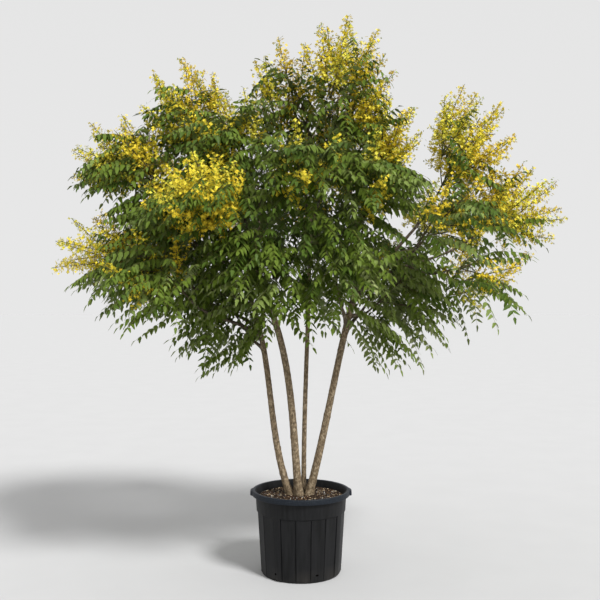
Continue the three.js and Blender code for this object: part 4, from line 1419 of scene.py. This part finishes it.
panicle_stalk = bark_material("panicle_stalk", dark=(0.070, 0.058, 0.022), light=(0.120, 0.105, 0.036),
                              pale=(0.16, 0.145, 0.05), cracks=0.1, roughness=0.6)
PETAL_YELLOWS = [
    petal_material("petal_yellow", (0.76, 0.61, 0.034), (0.87, 0.72, 0.064)),
    petal_material("petal_gold", (0.76, 0.57, 0.028), (0.86, 0.67, 0.050)),
    petal_material("petal_lemon", (0.72, 0.63, 0.052), (0.83, 0.76, 0.092)),
    petal_material("flower_bud", (0.22, 0.29, 0.022), (0.38, 0.44, 0.045)),
]
BUD = len(PETAL_YELLOWS) - 1


def panicles_of(mass, rng):
    """Foot, way and length of each panicle of a mass. The tips lie in a spiral over its upper side, and each
    foot is the twig's joint below from which the panicle stands most nearly upright, leaning out the more the
    further it is from the stems."""
    nodes = np.concatenate([twig["path"][1:] for twig in mass["twigs"]])
    lean = between(PANICLE_LEAN, distance_out(mass))
    outward = unit(mass["middle"] * (1, 1, 0))
    count = PANICLES[mass["blooms"]]
    first = rng.uniform(0, 2 * math.pi)
    axis = blossom_side(mass)
    level = unit(np.cross(axis, outward))
    other = np.cross(axis, level)
    found = []
    for number in range(count):
        rise = between(PANICLE_RISE, number / count)
        way = raised_way(level, other, axis, first + number * GOLDEN_ANGLE, rise) * mass["half"]
        tip = mass["middle"] + way * room_ahead(mass, mass["middle"], way, 1.0, PANICLE_SLACK, WALL_SLACK)
        away = unit((tip - mass["middle"]) * (1, 1, 0) + TINY)
        best = UP + outward * lean + away * lean * LEAN_FROM_MIDDLE
        offset = tip - nodes
        length = np.linalg.norm(offset, axis=1)
        off_length = np.maximum(PANICLE_LENGTH[0] - length, 0) + np.maximum(length - PANICLE_LENGTH[1], 0)
        worth = LEAN_WORTH * (offset @ unit(best)) / length - LENGTH_COST * off_length
        foot = nodes[int(worth.argmax())]
        found.append((foot, unit(tip - foot), min(float(length[worth.argmax()]), PANICLE_LENGTH[1])))
    return found


for stem_name in STEMS:
    skins, flowers, dealt = [], [], []
    for mass in masses.values():
        if mass["stem"] != stem_name or not mass["blooms"]:
            continue
        rng = mass["rng"]
        for found in panicles_of(mass, rng):
            stalk_skins, (places, facing, size, buds) = panicle(*found, rng)
            skins += stalk_skins
            flowers.append((places, facing, size))
            dealt.append(np.where(buds, BUD, int(rng.integers(0, BUD))))
    side = stem_name.removeprefix("stem_")
    points, faces, per_flower = flower_mesh(*map(np.concatenate, zip(*flowers)))
    blossom = mesh_piece(f"blossom_{side}", points, faces, PETAL_YELLOWS,
                         np.repeat(np.concatenate(dealt), per_flower))
    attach(blossom, "root")
    points, stalk_faces = joined(skins)
    stalks = mesh_piece(f"panicle_stalks_{side}", points, stalk_faces, [panicle_stalk])
    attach(stalks, "root")

# The studio: a plain pale floor under a pale sky, one broad soft light from high on the right in front, and
# the camera level with the foot of the crown, where the photograph was taken from.

FLOOR_RADIUS = 80
FLOOR_SIDES = 96
FLOOR_SHADE, FLOOR_MOTTLE = 0.55, 0.005
SKY_LOW = 0.80
KEY_STRENGTH = 3.2
KEY_FROM = (0.50, -0.62, 0.80)
KEY_SPREAD = 14
CAMERA_LENS = 49.92

floor_shades = ((FLOOR_SHADE + mottle,) * 3 for mottle in (-FLOOR_MOTTLE, FLOOR_MOTTLE))
floor = mesh_piece("floor", unit_circle(FLOOR_SIDES) * FLOOR_RADIUS, [tuple(range(FLOOR_SIDES))],
                   [mottled_material("floor", 1.0, 0.0, 3, *floor_shades)])

# The sky is as bright at the horizon as the lit floor, so that no line shows where they meet.
key_way = Vector(KEY_FROM).normalized()
sky_high = 2 * (SKY_LOW / FLOOR_SHADE - KEY_STRENGTH * key_way.z / math.pi) - SKY_LOW
world = bpy.data.worlds.new("studio")
world.use_nodes = True
sky = world.node_tree
sky_way = add_node(sky, "ShaderNodeTexCoord").outputs["Generated"]
rise = add_node(sky, "ShaderNodeSeparateXYZ", {0: sky_way}).outputs["Z"]
sky_colour = colour_mix(sky, product(sky, rise, rise), (SKY_LOW,) * 3, (sky_high,) * 3)
sky.links.new(sky_colour, sky.nodes["Background"].inputs["Color"])
bpy.context.scene.world = world

key_light = bpy.data.lights.new("key", "SUN")
key_light.energy = KEY_STRENGTH
key_light.angle = math.radians(KEY_SPREAD)
key = bpy.data.objects.new("key", key_light)
key.rotation_euler = key_way.to_track_quat("Z", "Y").to_euler()
bpy.context.scene.collection.objects.link(key)

camera_data = bpy.data.cameras.new("camera")
camera_data.lens = CAMERA_LENS
camera = bpy.data.objects.new("camera", camera_data)
camera.location = SEEN_FROM
camera.rotation_euler = (math.radians(90), 0, 0)
bpy.context.scene.collection.objects.link(camera)
bpy.context.scene.camera = camera
bpy.context.scene.view_settings.view_transform = "Standard"
